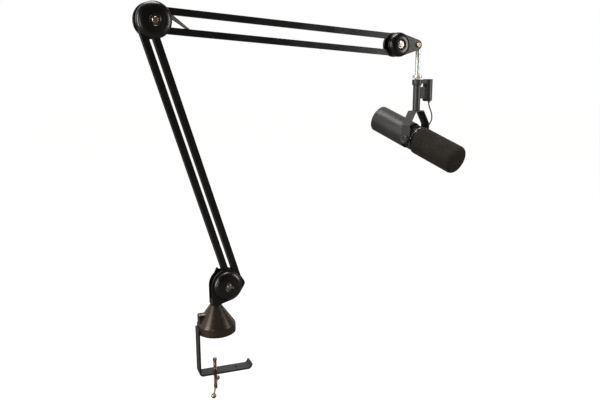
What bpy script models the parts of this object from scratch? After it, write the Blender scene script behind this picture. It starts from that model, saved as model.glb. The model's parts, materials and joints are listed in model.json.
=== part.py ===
"""Desk-clamped balanced boom arm carrying an end-address broadcast microphone.

Units are metres, +Z is up.  The origin is the centre of the base's underside, where it
sits on the desk.  The boom lies in the XZ plane and reaches towards +X.
Every sub-part is one named object; empties stand at the joints and carry what moves.
"""

import bmesh
import bpy
from math import atan2, cos, hypot, pi, radians, sin, tan
from mathutils import Matrix, Vector

# --- Clearances and common stock ------------------------------------------------------
GAP = 0.0003                  # between pieces that touch
ROUND_STEPS = 28              # sides of a large turned piece
SMALL_STEPS = 14              # sides of a pin, screw or hole

# --- Base and desk clamp --------------------------------------------------------------
BASE_RADIUS = 0.0412
BASE_RIM_HEIGHT = 0.020
BASE_PAD_THICKNESS = 0.002
BASE_PAD_INSET = 0.0045
CONE_TOP_RADIUS = 0.012
CONE_TOP_Z = 0.0623
SPIGOT_RADIUS = 0.007
SPIGOT_BOTTOM_Z = 0.012
BOSS_FACE_X = -0.0371         # outer face of the swivel-lock boss
BOSS_HALF_WIDTH = 0.0100
BOSS_TOP_Z = 0.046
LOCK_SCREW_Z = 0.0375
LOCK_SCREW_RADIUS = 0.0024
CLAMP_FLAT_X = 0.0040 - BASE_RADIUS    # flat on the rim that the clamp strip lies against
CLAMP_YAW = radians(-8)      # clamp turned from the boom's plane
STRIP_THICKNESS = 0.0039
STRIP_WIDTH = 0.030
STRIP_TOP_Z = 0.014
STRIP_BEND_RADIUS = 0.006
CLAMP_DEPTH = 0.0862          # from the base's underside to the lower bar's top
CLAMP_REACH = 0.0665          # to the lip's bend
LIP_RUN, LIP_RISE = 0.0065, 0.0095
DRAIN_HOLE_X = 0.041
DRAIN_HOLE_RADIUS = 0.003
CLAMP_BOLT_Z = 0.0085
CLAMP_BOLT_RADIUS = 0.003
CLAMP_SCREW_X = -0.005
CLAMP_SCREW_RADIUS = 0.0037
CLAMP_OPENING = 0.059         # desk thickness at rest
PAD_RADIUS = 0.0044
PAD_THICKNESS = 0.005
SCREW_NOSE_RADIUS = 0.0028    # reduced end that turns in the pad
SCREW_NOSE_LENGTH = 0.0032
TOMMY_DROP = 0.0655           # from the pad's face down to the tommy bar
TOMMY_RADIUS = 0.0016
TOMMY_BALL_RADIUS = 0.0054
TOMMY_HALF_LENGTH = 0.041     # to the middle of each ball
TOMMY_AZIMUTH = radians(62.9) # from the boom's plane, at rest
SCREW_END_DROP = 0.0690       # from the pad's face down to the screw's end

# --- Boom: square rails between round joint housings ----------------------------------
RAIL_SIZE = 0.0127
RAIL_WALL = 0.0012
PLATE_THICKNESS = 0.003
PLATE_CLEARANCE = 0.0004      # rail to plate
PIN_RADIUS = 0.003
RUNNING_GAP = 0.0003          # pin to hole

SHOULDER_CENTRE = Vector((0.0248, 0, 0.1014))
LOWER_ARM_LENGTH = 0.5473
LOWER_ARM_LEAN = radians(17.26)          # from the vertical, away from the reach
LOWER_PIVOT_SPACING = 0.0216             # along X
LOWER_PIVOT_FROM_SHOULDER = Vector((0.0082, 0, 0))
ELBOW_FROM_LOWER_PIVOT = Vector((0.0231, 0, 0.010))
UPPER_ARM_LENGTH = 0.5289
UPPER_ARM_DROOP = radians(4.24)          # below the horizontal
UPPER_PIVOT_SPACING = 0.036              # along Z
UPPER_PIVOT_FROM_ELBOW = Vector((0.022, 0, 0))
END_FROM_UPPER_PIVOT = Vector((0.008, 0, 0))
TIP_REACH = 0.0545                       # end housing to the drop rod's pivot

SHOULDER_PLATE_RADIUS = 0.0346
STOP_EAR_ANGLE = radians(24)   # pointed ear on the rear shoulder plate, back from upright
STOP_EAR_HEIGHT = 0.0055
SHOULDER_NOSE_RADIUS = 0.0095  # round the outer foot pivot
ELBOW_PLATE_RADIUS = 0.0336
END_PLATE_RADIUS = 0.0270
TIP_PLATE_RADIUS = 0.0115
NECK_HALF_WIDTH = 0.0095
COVER_HEIGHT = 0.0117
COVER_RIM_HEIGHT = 0.004
COVER_WALL = 0.0016
SHOULDER_COVER_RADIUS = 0.0314
ELBOW_COVER_RADIUS = 0.0342
END_COVER_RADIUS = 0.0268
SHOULDER_RECESS_RADIUS = 0.0085
ELBOW_RECESS_RADIUS = 0.0098
END_RECESS_RADIUS = 0.0105
COVER_SCREW_RADIUS = 0.0025
SPRING_RADIUS = RAIL_SIZE / 2 - RAIL_WALL - 0.00095
LOWER_SPRING_LENGTH = 0.300
UPPER_SPRING_LENGTH = 0.260
SPRING_FROM_PIVOT = 0.110
DRAW_BAR_THICKNESS = 0.003
DRAW_BAR_TIP_RADIUS = 0.0020
DRAW_BAR_EYE_RADIUS = RAIL_SIZE / 2 - RAIL_WALL - 0.00035
DRAW_BAR_ANGLE = radians(35.5)           # below the horizontal, at rest
DRAW_BAR_TIP_HEIGHT = 0.0030             # above the lower rail's centre line
SLIDE_SLOT_LENGTH = 0.060
SLIDE_SLOT_LEAD = 0.0122      # slot's middle ahead of the draw bar's tip at rest

# --- Drop rod, microphone mount and yoke ----------------------------------------------
ROD_OFFSET = 0.0082           # rod's axis beyond its pivot
ROD_RADIUS = 0.0055
ROD_HEAD_RADIUS = 0.0128
ROD_HEAD_GAP = 0.00075         # between the rod's head and each plate
ROD_DROP = 0.0745             # pivot to the underside of the flange
FLANGE_RADIUS = 0.011
FLANGE_THICKNESS = 0.0065
STUD_RADIUS = 0.0045
STUD_LENGTH = 0.0145
LOCK_NUT_RADIUS = 0.0078
LOCK_NUT_THICKNESS = 0.0029
POST_RADIUS = 0.0087
POST_LENGTH = 0.0712
RING_RADIUS = 0.0115
RING_HEIGHT = 0.0135
HOUSING_OFFSET = 0.044        # connector housing's axis from the post's axis
HOUSING_RADIUS = 0.0115
HOUSING_HEIGHT = 0.0515
CUP_RADIUS = 0.0093
CUP_DEPTH = 0.0310
INSERT_THICKNESS = 0.004
CONTACT_RADIUS = 0.0012
CONTACT_LENGTH = 0.014
CONTACT_CIRCLE = 0.0045
WEB_THICKNESS = 0.004
WEB_TOP_DROP, WEB_BOTTOM_DROP = 0.0175, 0.0445
YOKE_AZIMUTH = radians(73.2)  # microphone's heading, from +X towards -Y
YOKE_THICKNESS = 0.0025
YOKE_WIDTH = 0.022
YOKE_TOP_HALF = 0.0155
YOKE_ARM_OFFSET = 0.039       # arm's middle from the post's axis
YOKE_RISE = 0.0632            # pivot up to the top plate's middle
YOKE_KNEE_RISE = 0.032
YOKE_END_RADIUS = 0.011
KNOB_RADIUS = 0.0105
KNOB_THICKNESS = 0.007
KNOB_SCREW_RADIUS = 0.0025
LEAD_DIAMETER = 0.003
LEAD_EXIT_OFFSET = 0.0075      # exit boss from the housing's axis, away from the post
LEAD_EXIT_LENGTH = 0.004
LEAD_BOSS_RADIUS = 0.0026
LEAD_GLAND_RISE = 0.0137      # gland's root in the far arm, above the tilt pivot
LEAD_GLAND_SLOPE = radians(41)
LEAD_GLAND_LENGTH = 0.0063

# --- Microphone -----------------------------------------------------------------------
MIC_TILT = radians(20.5)      # front end below the horizontal
SHELL_RADIUS = 0.0317
SHELL_WALL = 0.0015
SHELL_REAR = 0.115            # pivot to the rear end
SHELL_FRONT = 0.0135          # pivot to the shell's front edge, towards the rear
SHELL_EDGE = 0.0065
REAR_PLATE_RADIUS = 0.0245
REAR_PLATE_THICKNESS = 0.002
REAR_PLATE_INSET = 0.0015
SWITCH_OFFSET = 0.009
SWITCH_SLOT_LENGTH, SWITCH_SLOT_WIDTH = 0.0085, 0.0042
SWITCH_TRAVEL = 0.003
COLLAR_RADIUS = 0.0292
COLLAR_BORE = 0.0245
COLLAR_HALF_LENGTH = 0.0115
COLLAR_BOSS_RADIUS = 0.0078
GRILLE_RADIUS = 0.0242
GRILLE_WALL = 0.0012
GRILLE_REAR, GRILLE_FRONT = -0.018, 0.106
FOAM_RADIUS = 0.0333
FOAM_REAR, FOAM_FRONT = 0.0125, 0.1284
FOAM_SOCKET_GAP = 0.0004
FOAM_EDGE = 0.012
CAPSULE_RADIUS = 0.0165
CAPSULE_REAR, CAPSULE_FRONT = 0.055, 0.088
SHOCK_RING_THICKNESS = 0.008
TRANSFORMER_SIZE = Vector((0.022, 0.018, 0.032))
TRANSFORMER_FROM_PIVOT = -0.062

# --- Places worked out from the sizes above -------------------------------------------
RAIL_HALF = RAIL_SIZE / 2
PLATE_INNER_Y = RAIL_HALF + PLATE_CLEARANCE
PLATE_OUTER_Y = PLATE_INNER_Y + PLATE_THICKNESS
COVER_BASE_Y = PLATE_OUTER_Y + GAP

LOWER_DIRECTION = Vector((-sin(LOWER_ARM_LEAN), 0, cos(LOWER_ARM_LEAN)))
UPPER_DIRECTION = Vector((cos(UPPER_ARM_DROOP), 0, -sin(UPPER_ARM_DROOP)))
SIDE_STEP = Vector((LOWER_PIVOT_SPACING, 0, 0))
UP_STEP = Vector((0, 0, UPPER_PIVOT_SPACING / 2))

REAR_FOOT = SHOULDER_CENTRE + LOWER_PIVOT_FROM_SHOULDER
FRONT_FOOT = REAR_FOOT + SIDE_STEP
REAR_HEAD = REAR_FOOT + LOWER_DIRECTION * LOWER_ARM_LENGTH
FRONT_HEAD = REAR_HEAD + SIDE_STEP
ELBOW_CENTRE = REAR_HEAD + ELBOW_FROM_LOWER_PIVOT
TOP_ROOT = ELBOW_CENTRE + UPPER_PIVOT_FROM_ELBOW + UP_STEP
BOTTOM_ROOT = ELBOW_CENTRE + UPPER_PIVOT_FROM_ELBOW - UP_STEP
TOP_TIP = TOP_ROOT + UPPER_DIRECTION * UPPER_ARM_LENGTH
BOTTOM_TIP = BOTTOM_ROOT + UPPER_DIRECTION * UPPER_ARM_LENGTH
END_CENTRE = (TOP_TIP + BOTTOM_TIP) / 2 + END_FROM_UPPER_PIVOT
ROD_PIVOT = END_CENTRE + Vector((TIP_REACH, 0, 0))

ROD_AXIS_X = ROD_PIVOT.x + ROD_OFFSET
FLANGE_BOTTOM_Z = ROD_PIVOT.z - ROD_DROP
NUT_BOTTOM_Z = FLANGE_BOTTOM_Z - GAP - LOCK_NUT_THICKNESS
POST_TOP_Z = NUT_BOTTOM_Z - GAP
POST_BOTTOM_Z = POST_TOP_Z - POST_LENGTH
YOKE_PIVOT_Z = POST_BOTTOM_Z - GAP - YOKE_THICKNESS / 2 - YOKE_RISE
MIC_PIVOT = Vector((ROD_AXIS_X, 0, YOKE_PIVOT_Z))

PIVOT_AXIS = Vector((-sin(YOKE_AZIMUTH), -cos(YOKE_AZIMUTH), 0))   # towards the near knob
FORWARD = Vector((cos(YOKE_AZIMUTH), -sin(YOKE_AZIMUTH), 0))
MIC_AXIS = FORWARD * cos(MIC_TILT) - Vector((0, 0, sin(MIC_TILT)))

# --- Finishes: base colour, roughness, metallic ---------------------------------------
FINISHES = {
    "black_paint": ((0.012, 0.011, 0.010), 0.35, 0.0),
    "black_cover": ((0.010, 0.009, 0.008), 0.22, 0.0),
    "bronze_grey": ((0.085, 0.075, 0.062), 0.38, 0.7),
    "bright_steel": ((0.78, 0.76, 0.72), 0.18, 1.0),
    "nickel_brass": ((0.42, 0.33, 0.22), 0.28, 1.0),
    "pale_chrome": ((0.86, 0.88, 0.86), 0.12, 1.0),
    "spring_steel": ((0.46, 0.43, 0.38), 0.40, 0.9),
    "graphite_paint": ((0.050, 0.050, 0.052), 0.42, 0.0),
    "black_plastic": ((0.014, 0.014, 0.014), 0.40, 0.0),
    "black_rubber": ((0.012, 0.012, 0.012), 0.75, 0.0),
    "dark_foam": ((0.014, 0.012, 0.010), 0.95, 0.0),
}


# ======================================================================================
# Building tools
# ======================================================================================

def clear_scene():
    for obj in list(bpy.data.objects):
        bpy.data.objects.remove(obj, do_unlink=True)


def new_collection(name):
    group = bpy.data.collections.new(name)
    bpy.context.scene.collection.children.link(group)
    return group


def make_material(name, finish):
    colour, roughness, metallic = FINISHES[finish]
    material = bpy.data.materials.new(name)
    material.use_nodes = True
    shader = material.node_tree.nodes["Principled BSDF"]
    shader.inputs["Base Color"].default_value = (*colour, 1)
    shader.inputs["Roughness"].default_value = roughness
    shader.inputs["Metallic"].default_value = metallic
    return material


def frame_at(origin, x_axis, y_axis, z_axis):
    """A matrix whose local axes point along the three given directions."""
    turn = Matrix((x_axis, y_axis, z_axis)).transposed().to_4x4()
    return Matrix.Translation(origin) @ turn


def side_frame(centre, side):
    """Local Z points out of the joint housing: side -1 is the front (-Y), +1 the rear."""
    outward = Vector((0, side, 0))
    x_axis = Vector((1, 0, 0))
    return frame_at(centre, x_axis, outward.cross(x_axis), outward)


def lathe_frame(origin, direction):
    """Local Z along a direction, for round pieces whose turn about it doesn't matter."""
    z_axis = direction.normalized()
    helper = Vector((0, 1, 0)) if abs(z_axis.y) < 0.9 else Vector((1, 0, 0))
    x_axis = helper.cross(z_axis).normalized()
    return frame_at(origin, x_axis, z_axis.cross(x_axis), z_axis)


CLAMP_TURN = Matrix.Rotation(CLAMP_YAW, 4, "Z")
UPRIGHT = frame_at(Vector(), Vector((1, 0, 0)), Vector((0, 0, 1)), Vector((0, -1, 0)))


def add_object(name, mesh, place, group):
    obj = bpy.data.objects.new(name, mesh)
    group.objects.link(obj)
    obj.matrix_world = place
    return obj


def turned(name, profile, place, group, steps=ROUND_STEPS, closed=False):
    """Revolve (radius, height) points about local Z.  The profile runs from the top down
    its outer side; a closed one comes back up its bore."""
    mesh = bpy.data.meshes.new(name)
    points = [(radius, 0, height) for radius, height in profile]
    edges = [(i, i + 1) for i in range(len(points) - 1)]
    if closed:
        edges.append((len(points) - 1, 0))
    mesh.from_pydata(points, edges, [])
    obj = add_object(name, mesh, place, group)
    screw = obj.modifiers.new("Turn", "SCREW")
    screw.axis = "Z"
    screw.steps = screw.render_steps = steps
    screw.use_merge_vertices = True
    screw.merge_threshold = 0.00002
    screw.use_smooth_shade = True
    return obj


def rod_profile(radius, bottom, top):
    return [(0, top), (radius, top), (radius, bottom), (0, bottom)]


def tube_profile(outer, inner, bottom, top):
    return [(inner, top), (outer, top), (outer, bottom), (inner, bottom)]


def circle_points(centre_x, centre_y, radius, steps):
    return [(centre_x + radius * cos(2 * pi * i / steps),
             centre_y + radius * sin(2 * pi * i / steps)) for i in range(steps)]


def wrap_outline(circles):
    """The taut outline round a few circles given as (x, y, radius, steps)."""
    points = sorted(p for circle in circles for p in circle_points(*circle))

    def half(ordered):
        chain = []
        for p in ordered:
            while len(chain) > 1 and ((chain[-1][0] - chain[-2][0]) * (p[1] - chain[-2][1])
                                      - (chain[-1][1] - chain[-2][1]) * (p[0] - chain[-2][0])) <= 1e-12:
                chain.pop()
            chain.append(p)
        return chain[:-1]

    return half(points) + half(points[::-1])


def ribbon_outline(path, thickness):
    """The outline of a strip of even thickness whose middle follows a path."""
    left, right = [], []
    for i, point in enumerate(path):
        before = Vector(path[max(i - 1, 0)])
        after = Vector(path[min(i + 1, len(path) - 1)])
        here = Vector(point)
        run_in = (here - before).normalized() if i else (after - here).normalized()
        run_out = (after - here).normalized() if i < len(path) - 1 else run_in
        normal_in = Vector((-run_in.y, run_in.x))
        mitre = (normal_in + Vector((-run_out.y, run_out.x))).normalized()
        reach = thickness / 2 / mitre.dot(normal_in)
        left.append(tuple(here + mitre * reach))
        right.append(tuple(here - mitre * reach))
    return left + right[::-1]


def plate(name, outline, thickness, place, group):
    """A flat outline in local XY, thick about the plane, as a mesh that can be cut."""
    curve = bpy.data.curves.new(name, "CURVE")
    curve.dimensions = "2D"
    curve.fill_mode = "BOTH"
    curve.extrude = thickness / 2
    spline = curve.splines.new("POLY")
    spline.points.add(len(outline) - 1)
    for point, (x, y) in zip(spline.points, outline):
        point.co = (x, y, 0, 1)
    spline.use_cyclic_u = True
    drawn = add_object(name + "_outline", curve, place, group)
    return curve_to_mesh(name, drawn, group)


def curve_to_mesh(name, drawn, group):
    bpy.context.view_layer.update()
    depsgraph = bpy.context.evaluated_depsgraph_get()
    mesh = bpy.data.meshes.new_from_object(drawn.evaluated_get(depsgraph))
    mesh.name = name
    place = drawn.matrix_world.copy()
    bpy.data.objects.remove(drawn, do_unlink=True)
    work = bmesh.new()
    work.from_mesh(mesh)
    bmesh.ops.remove_doubles(work, verts=work.verts, dist=0.000005)
    bmesh.ops.recalc_face_normals(work, faces=work.faces)
    work.to_mesh(mesh)
    work.free()
    return add_object(name, mesh, place, group)


def block(name, size, centre, group, place=Matrix.Identity(4)):
    mesh = bpy.data.meshes.new(name)
    work = bmesh.new()
    bmesh.ops.create_cube(work, size=1, matrix=Matrix.Translation(centre) @ Matrix.Diagonal((*size, 1)))
    work.to_mesh(mesh)
    work.free()
    return add_object(name, mesh, place, group)


def ball(name, radius, centre, group):
    mesh = bpy.data.meshes.new(name)
    work = bmesh.new()
    bmesh.ops.create_uvsphere(work, u_segments=12, v_segments=8, radius=radius)
    work.to_mesh(mesh)
    work.free()
    return add_object(name, mesh, Matrix.Translation(centre), group)


def boolean(target, tool, operation):
    modifier = target.modifiers.new(tool.name, "BOOLEAN")
    modifier.operation = operation
    modifier.solver = "EXACT"
    modifier.object = tool
    tool.hide_render = True
    tool.display_type = "WIRE"


def cut(target, *tools):
    for tool in tools:
        boolean(target, tool, "DIFFERENCE")


def fuse(target, *tools):
    for tool in tools:
        boolean(target, tool, "UNION")


def cross_pin(name, centre, radius, half_length, group, steps=SMALL_STEPS):
    """A round bar along Y, used for pins and to cut their holes."""
    return turned(name, rod_profile(radius, -half_length, half_length), side_frame(centre, 1), group, steps)


def place_finish(obj, finish):
    if obj.type == "MESH":
        obj.data.materials.clear()
    obj.data.materials.append(make_material(obj.name + "_finish", finish))
    return obj


def carry(empty, *objects):
    for obj in objects:
        world = obj.matrix_world.copy()
        obj.parent = empty
        obj.matrix_parent_inverse = empty.matrix_world.inverted()
        obj.matrix_world = world


def joint_empty(name, place, group, parent=None):
    empty = bpy.data.objects.new(name, None)
    empty.empty_display_size = 0.02
    group.objects.link(empty)
    empty.matrix_world = place
    if parent:
        carry(parent, empty)
    return empty


# ======================================================================================
# Base and clamp
# ======================================================================================

def build_base(parts, tools):
    body_bottom = BASE_PAD_THICKNESS + GAP
    pad = turned("base_pad", rod_profile(BASE_RADIUS - BASE_PAD_INSET, 0, BASE_PAD_THICKNESS),
                 Matrix.Identity(4), parts)
    cone = turned("base_cone", [
        (SPIGOT_RADIUS + GAP, CONE_TOP_Z), (CONE_TOP_RADIUS - 0.0008, CONE_TOP_Z),
        (CONE_TOP_RADIUS, CONE_TOP_Z - 0.0008), (BASE_RADIUS - 0.0005, BASE_RIM_HEIGHT + 0.0006),
        (BASE_RADIUS, BASE_RIM_HEIGHT - 0.0004), (BASE_RADIUS, body_bottom + 0.0008),
        (BASE_RADIUS - 0.0008, body_bottom), (0, body_bottom), (0, SPIGOT_BOTTOM_Z - 0.001),
        (SPIGOT_RADIUS + GAP, SPIGOT_BOTTOM_Z - 0.001)], Matrix.Identity(4), parts, 48, closed=True)
    boss_outline = wrap_outline([
        (0, BOSS_TOP_Z - BOSS_HALF_WIDTH, BOSS_HALF_WIDTH, 20),
        (BOSS_HALF_WIDTH - 0.001, body_bottom + 0.004, 0.001, 6),
        (0.001 - BOSS_HALF_WIDTH, body_bottom + 0.004, 0.001, 6)])
    boss_inner_x = -SPIGOT_RADIUS - 0.004
    boss_place = CLAMP_TURN @ frame_at(Vector(((BOSS_FACE_X + boss_inner_x) / 2, 0, 0)),
                                       Vector((0, 1, 0)), Vector((0, 0, 1)), Vector((1, 0, 0)))
    boss = plate("boss_blank", boss_outline, boss_inner_x - BOSS_FACE_X, boss_place, tools)
    flat = block("rim_flat", (0.02, 0.06, 0.05), (CLAMP_FLAT_X - 0.01, 0, 0.012), tools, CLAMP_TURN)
    lock_hole = turned("lock_screw_hole", rod_profile(LOCK_SCREW_RADIUS + GAP, -0.06, 0),
                       CLAMP_TURN @ lathe_frame(Vector((0, 0, LOCK_SCREW_Z)), Vector((1, 0, 0))), tools, SMALL_STEPS)
    bolt_hole = turned("clamp_bolt_hole", rod_profile(CLAMP_BOLT_RADIUS + GAP, -0.06, -0.025),
                       CLAMP_TURN @ lathe_frame(Vector((0, 0, CLAMP_BOLT_Z)), Vector((1, 0, 0))), tools, SMALL_STEPS)
    fuse(cone, boss)
    cut(cone, flat, lock_hole, bolt_hole)

    sunk = -0.0008
    point = BOSS_FACE_X + SPIGOT_RADIUS + 0.0008
    lock_screw = turned("swivel_lock_screw", [
        (0, sunk), (LOCK_SCREW_RADIUS - 0.0004, sunk), (LOCK_SCREW_RADIUS, sunk - 0.0004),
        (LOCK_SCREW_RADIUS, point), (0, point)],
        CLAMP_TURN @ lathe_frame(Vector((BOSS_FACE_X, 0, LOCK_SCREW_Z)), Vector((-1, 0, 0))),
        parts, SMALL_STEPS)
    hex_key = turned("lock_screw_socket", rod_profile(0.0014, sunk - 0.0022, 0.01), lock_screw.matrix_world, tools, 6)
    cut(lock_screw, hex_key)

    place_finish(pad, "black_rubber")
    place_finish(cone, "bronze_grey")
    place_finish(lock_screw, "bright_steel")


def build_clamp(parts, tools):
    strip_x = CLAMP_FLAT_X - GAP - STRIP_THICKNESS / 2
    bar_z = -CLAMP_DEPTH - STRIP_THICKNESS / 2
    bend = [(strip_x + STRIP_BEND_RADIUS * (1 - cos(a)), bar_z + STRIP_BEND_RADIUS * (1 - sin(a)))
            for a in (0, pi / 8, pi / 4, 3 * pi / 8, pi / 2)]
    path = [(strip_x, STRIP_TOP_Z)] + bend + [
        (CLAMP_REACH, bar_z), (CLAMP_REACH + LIP_RUN * 0.6, bar_z + LIP_RISE * 0.35),
        (CLAMP_REACH + LIP_RUN, bar_z + LIP_RISE)]
    bracket = plate("clamp_bracket", ribbon_outline(path, STRIP_THICKNESS), STRIP_WIDTH, CLAMP_TURN @ UPRIGHT, parts)
    screw_hole = turned("clamp_screw_hole", rod_profile(CLAMP_SCREW_RADIUS + GAP, -0.12, -0.07),
                        CLAMP_TURN @ Matrix.Translation((CLAMP_SCREW_X, 0, 0)), tools, SMALL_STEPS)
    drain = turned("drain_hole", rod_profile(DRAIN_HOLE_RADIUS, -0.12, -0.07),
                   CLAMP_TURN @ Matrix.Translation((DRAIN_HOLE_X, 0, 0)), tools, SMALL_STEPS)
    bolt_hole = turned("strip_bolt_hole", rod_profile(CLAMP_BOLT_RADIUS + GAP, -0.06, -0.03),
                       CLAMP_TURN @ lathe_frame(Vector((0, 0, CLAMP_BOLT_Z)), Vector((1, 0, 0))), tools, SMALL_STEPS)
    cut(bracket, screw_hole, drain, bolt_hole)

    strip_outer_x = strip_x - STRIP_THICKNESS / 2
    bolt_end = strip_outer_x + 0.0292
    bolt = turned("clamp_bolt", [
        (0, -0.0003), (CLAMP_BOLT_RADIUS - 0.0004, -0.0003), (CLAMP_BOLT_RADIUS, -0.0007),
        (CLAMP_BOLT_RADIUS, bolt_end), (0, bolt_end)],
        CLAMP_TURN @ lathe_frame(Vector((strip_outer_x, 0, CLAMP_BOLT_Z)), Vector((-1, 0, 0))),
        parts, SMALL_STEPS)
    cut(bolt, turned("clamp_bolt_socket", rod_profile(0.0018, -0.0026, 0.01), bolt.matrix_world, tools, 6))

    foot = CLAMP_TURN @ Vector((CLAMP_SCREW_X, 0, -CLAMP_OPENING))
    pad_frame = Matrix.Translation(foot)
    socket_top = SCREW_NOSE_LENGTH - PAD_THICKNESS + GAP
    pad = turned("clamp_pad", [
        (0, 0), (PAD_RADIUS - 0.0006, 0), (PAD_RADIUS, -0.0006), (PAD_RADIUS, -PAD_THICKNESS),
        (SCREW_NOSE_RADIUS + GAP, -PAD_THICKNESS), (SCREW_NOSE_RADIUS + GAP, socket_top), (0, socket_top)],
        pad_frame, parts, 20)
    nose_top, shoulder = socket_top - GAP, -PAD_THICKNESS - GAP
    screw = turned("clamp_screw", [
        (0, nose_top), (SCREW_NOSE_RADIUS, nose_top), (SCREW_NOSE_RADIUS, shoulder),
        (CLAMP_SCREW_RADIUS, shoulder), (CLAMP_SCREW_RADIUS, 0.0012 - SCREW_END_DROP),
        (CLAMP_SCREW_RADIUS - 0.001, -SCREW_END_DROP), (0, -SCREW_END_DROP)],
        pad_frame, parts, 20)
    direction = Vector((-cos(TOMMY_AZIMUTH), -sin(TOMMY_AZIMUTH), 0))
    middle = foot - Vector((0, 0, TOMMY_DROP))
    tommy_place = lathe_frame(middle, direction)
    cut(screw, turned("tommy_hole", rod_profile(TOMMY_RADIUS + GAP, -0.01, 0.01), tommy_place, tools, 12))
    tommy = turned("tommy_bar", rod_profile(TOMMY_RADIUS, -TOMMY_HALF_LENGTH, TOMMY_HALF_LENGTH),
                   tommy_place, parts, 12)
    near_ball = ball("near_ball", TOMMY_BALL_RADIUS, middle + direction * TOMMY_HALF_LENGTH, tools)
    far_ball = ball("far_ball", TOMMY_BALL_RADIUS, middle - direction * TOMMY_HALF_LENGTH, tools)
    fuse(tommy, near_ball, far_ball)

    place_finish(bracket, "black_paint")
    place_finish(bolt, "black_paint")
    place_finish(pad, "nickel_brass")
    place_finish(screw, "nickel_brass")
    place_finish(tommy, "nickel_brass")
    return pad, screw, tommy


# ======================================================================================
# Boom arm
# ======================================================================================

def joint_cover(name, centre, side, radius, recess, parts):
    """A domed cap over one face of a joint housing, hollow behind, dished for its screw."""
    wall, top, rim = COVER_WALL, COVER_HEIGHT, COVER_RIM_HEIGHT
    floor = top - 0.0042
    bore = COVER_SCREW_RADIUS + GAP
    shoulder = radius - 0.0028
    inner_top = top - wall - 0.0006
    profile = [
        (bore, floor), (recess - 0.0008, floor), (recess, top - 0.0008), (recess + 0.0014, top),
        (radius * 0.62, top - 0.0007), (radius * 0.80, top - 0.0026), (shoulder, rim + 0.0030),
        (radius, rim), (radius, 0), (radius - wall, 0), (radius - wall, rim - 0.0006),
        (shoulder - wall, rim + 0.0010), (radius * 0.62, inner_top - 0.0014),
        (recess + wall, inner_top - 0.0006), (recess + wall - 0.0004, floor - wall), (bore, floor - wall)]
    place = side_frame(centre + Vector((0, side * COVER_BASE_Y, 0)), side)
    return place_finish(turned(name, profile, place, parts, closed=True), "black_cover")


def cover_screw(name, centre, recess, parts, tools):
    """The socket screw in a front cover's dish; its shank ends inside the front plate."""
    floor = COVER_HEIGHT - 0.0042 + GAP
    head = recess - 0.0026
    end = -GAP - PLATE_THICKNESS + 0.0006
    place = side_frame(centre + Vector((0, -COVER_BASE_Y, 0)), -1)
    screw = turned(name, [
        (0, floor + 0.0034), (head - 0.0012, floor + 0.0034), (head, floor + 0.0022), (head, floor),
        (COVER_SCREW_RADIUS, floor), (COVER_SCREW_RADIUS, end), (0, end)], place, parts, SMALL_STEPS + 2)
    cut(screw, turned(name + "_socket", rod_profile(0.0032, floor + 0.0012, 0.05), place, tools, 6))
    return place_finish(screw, "bright_steel")


def pivot_pin(name, centre, parts):
    """A plain pin through both plates, kept in by the covers over its ends."""
    return place_finish(cross_pin(name, centre, PIN_RADIUS, PLATE_OUTER_Y, parts), "black_paint")


def housing_plates(prefix, outline, holes, cover_centre, parts, tools):
    """The two side plates of a joint housing, with its pin holes and cover screw holes."""
    plates = []
    for label, side in (("front", -1), ("rear", 1)):
        middle_y = side * (PLATE_INNER_Y + PLATE_THICKNESS / 2)
        place = Matrix.Translation((0, middle_y, 0)) @ UPRIGHT
        body = plate(f"{prefix}_plate_{label}", outline, PLATE_THICKNESS, place, parts)
        for number, hole in enumerate(holes):
            centre = Vector((hole.x, middle_y, hole.z))
            cut(body, cross_pin(f"{prefix}_hole_{label}_{number}", centre, PIN_RADIUS + RUNNING_GAP, 0.004, tools))
        centre = Vector((cover_centre.x, middle_y, cover_centre.z))
        cut(body, cross_pin(f"{prefix}_tap_{label}", centre, COVER_SCREW_RADIUS + GAP, 0.004, tools))
        plates.append(place_finish(body, "black_paint"))
    return plates


def rail(name, start, end, parts, tools):
    """A square tube whose cheeks are rounded about the pivot hole at each end."""
    outline = wrap_outline([(start.x, start.z, RAIL_HALF, 24), (end.x, end.z, RAIL_HALF, 24)])
    body = plate(name, outline, RAIL_SIZE, UPRIGHT, parts)
    run = (end - start).normalized()
    along = frame_at((start + end) / 2, run, Vector((0, 1, 0)), run.cross(Vector((0, 1, 0))))
    inside = RAIL_SIZE - 2 * RAIL_WALL
    hollow = block(name + "_hollow", ((end - start).length + 2 * RAIL_SIZE, inside, inside), (0, 0, 0), tools, along)
    cut(body, hollow)
    for number, pivot in enumerate((start, end)):
        cut(body, cross_pin(f"{name}_eye_{number}", pivot, PIN_RADIUS + RUNNING_GAP, RAIL_SIZE, tools))
    return place_finish(body, "black_paint")


def spring(name, start, direction, length, parts):
    place = lathe_frame(start + direction * SPRING_FROM_PIVOT, direction)
    return place_finish(turned(name, rod_profile(SPRING_RADIUS, 0, length), place, parts, 12), "spring_steel")


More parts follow.
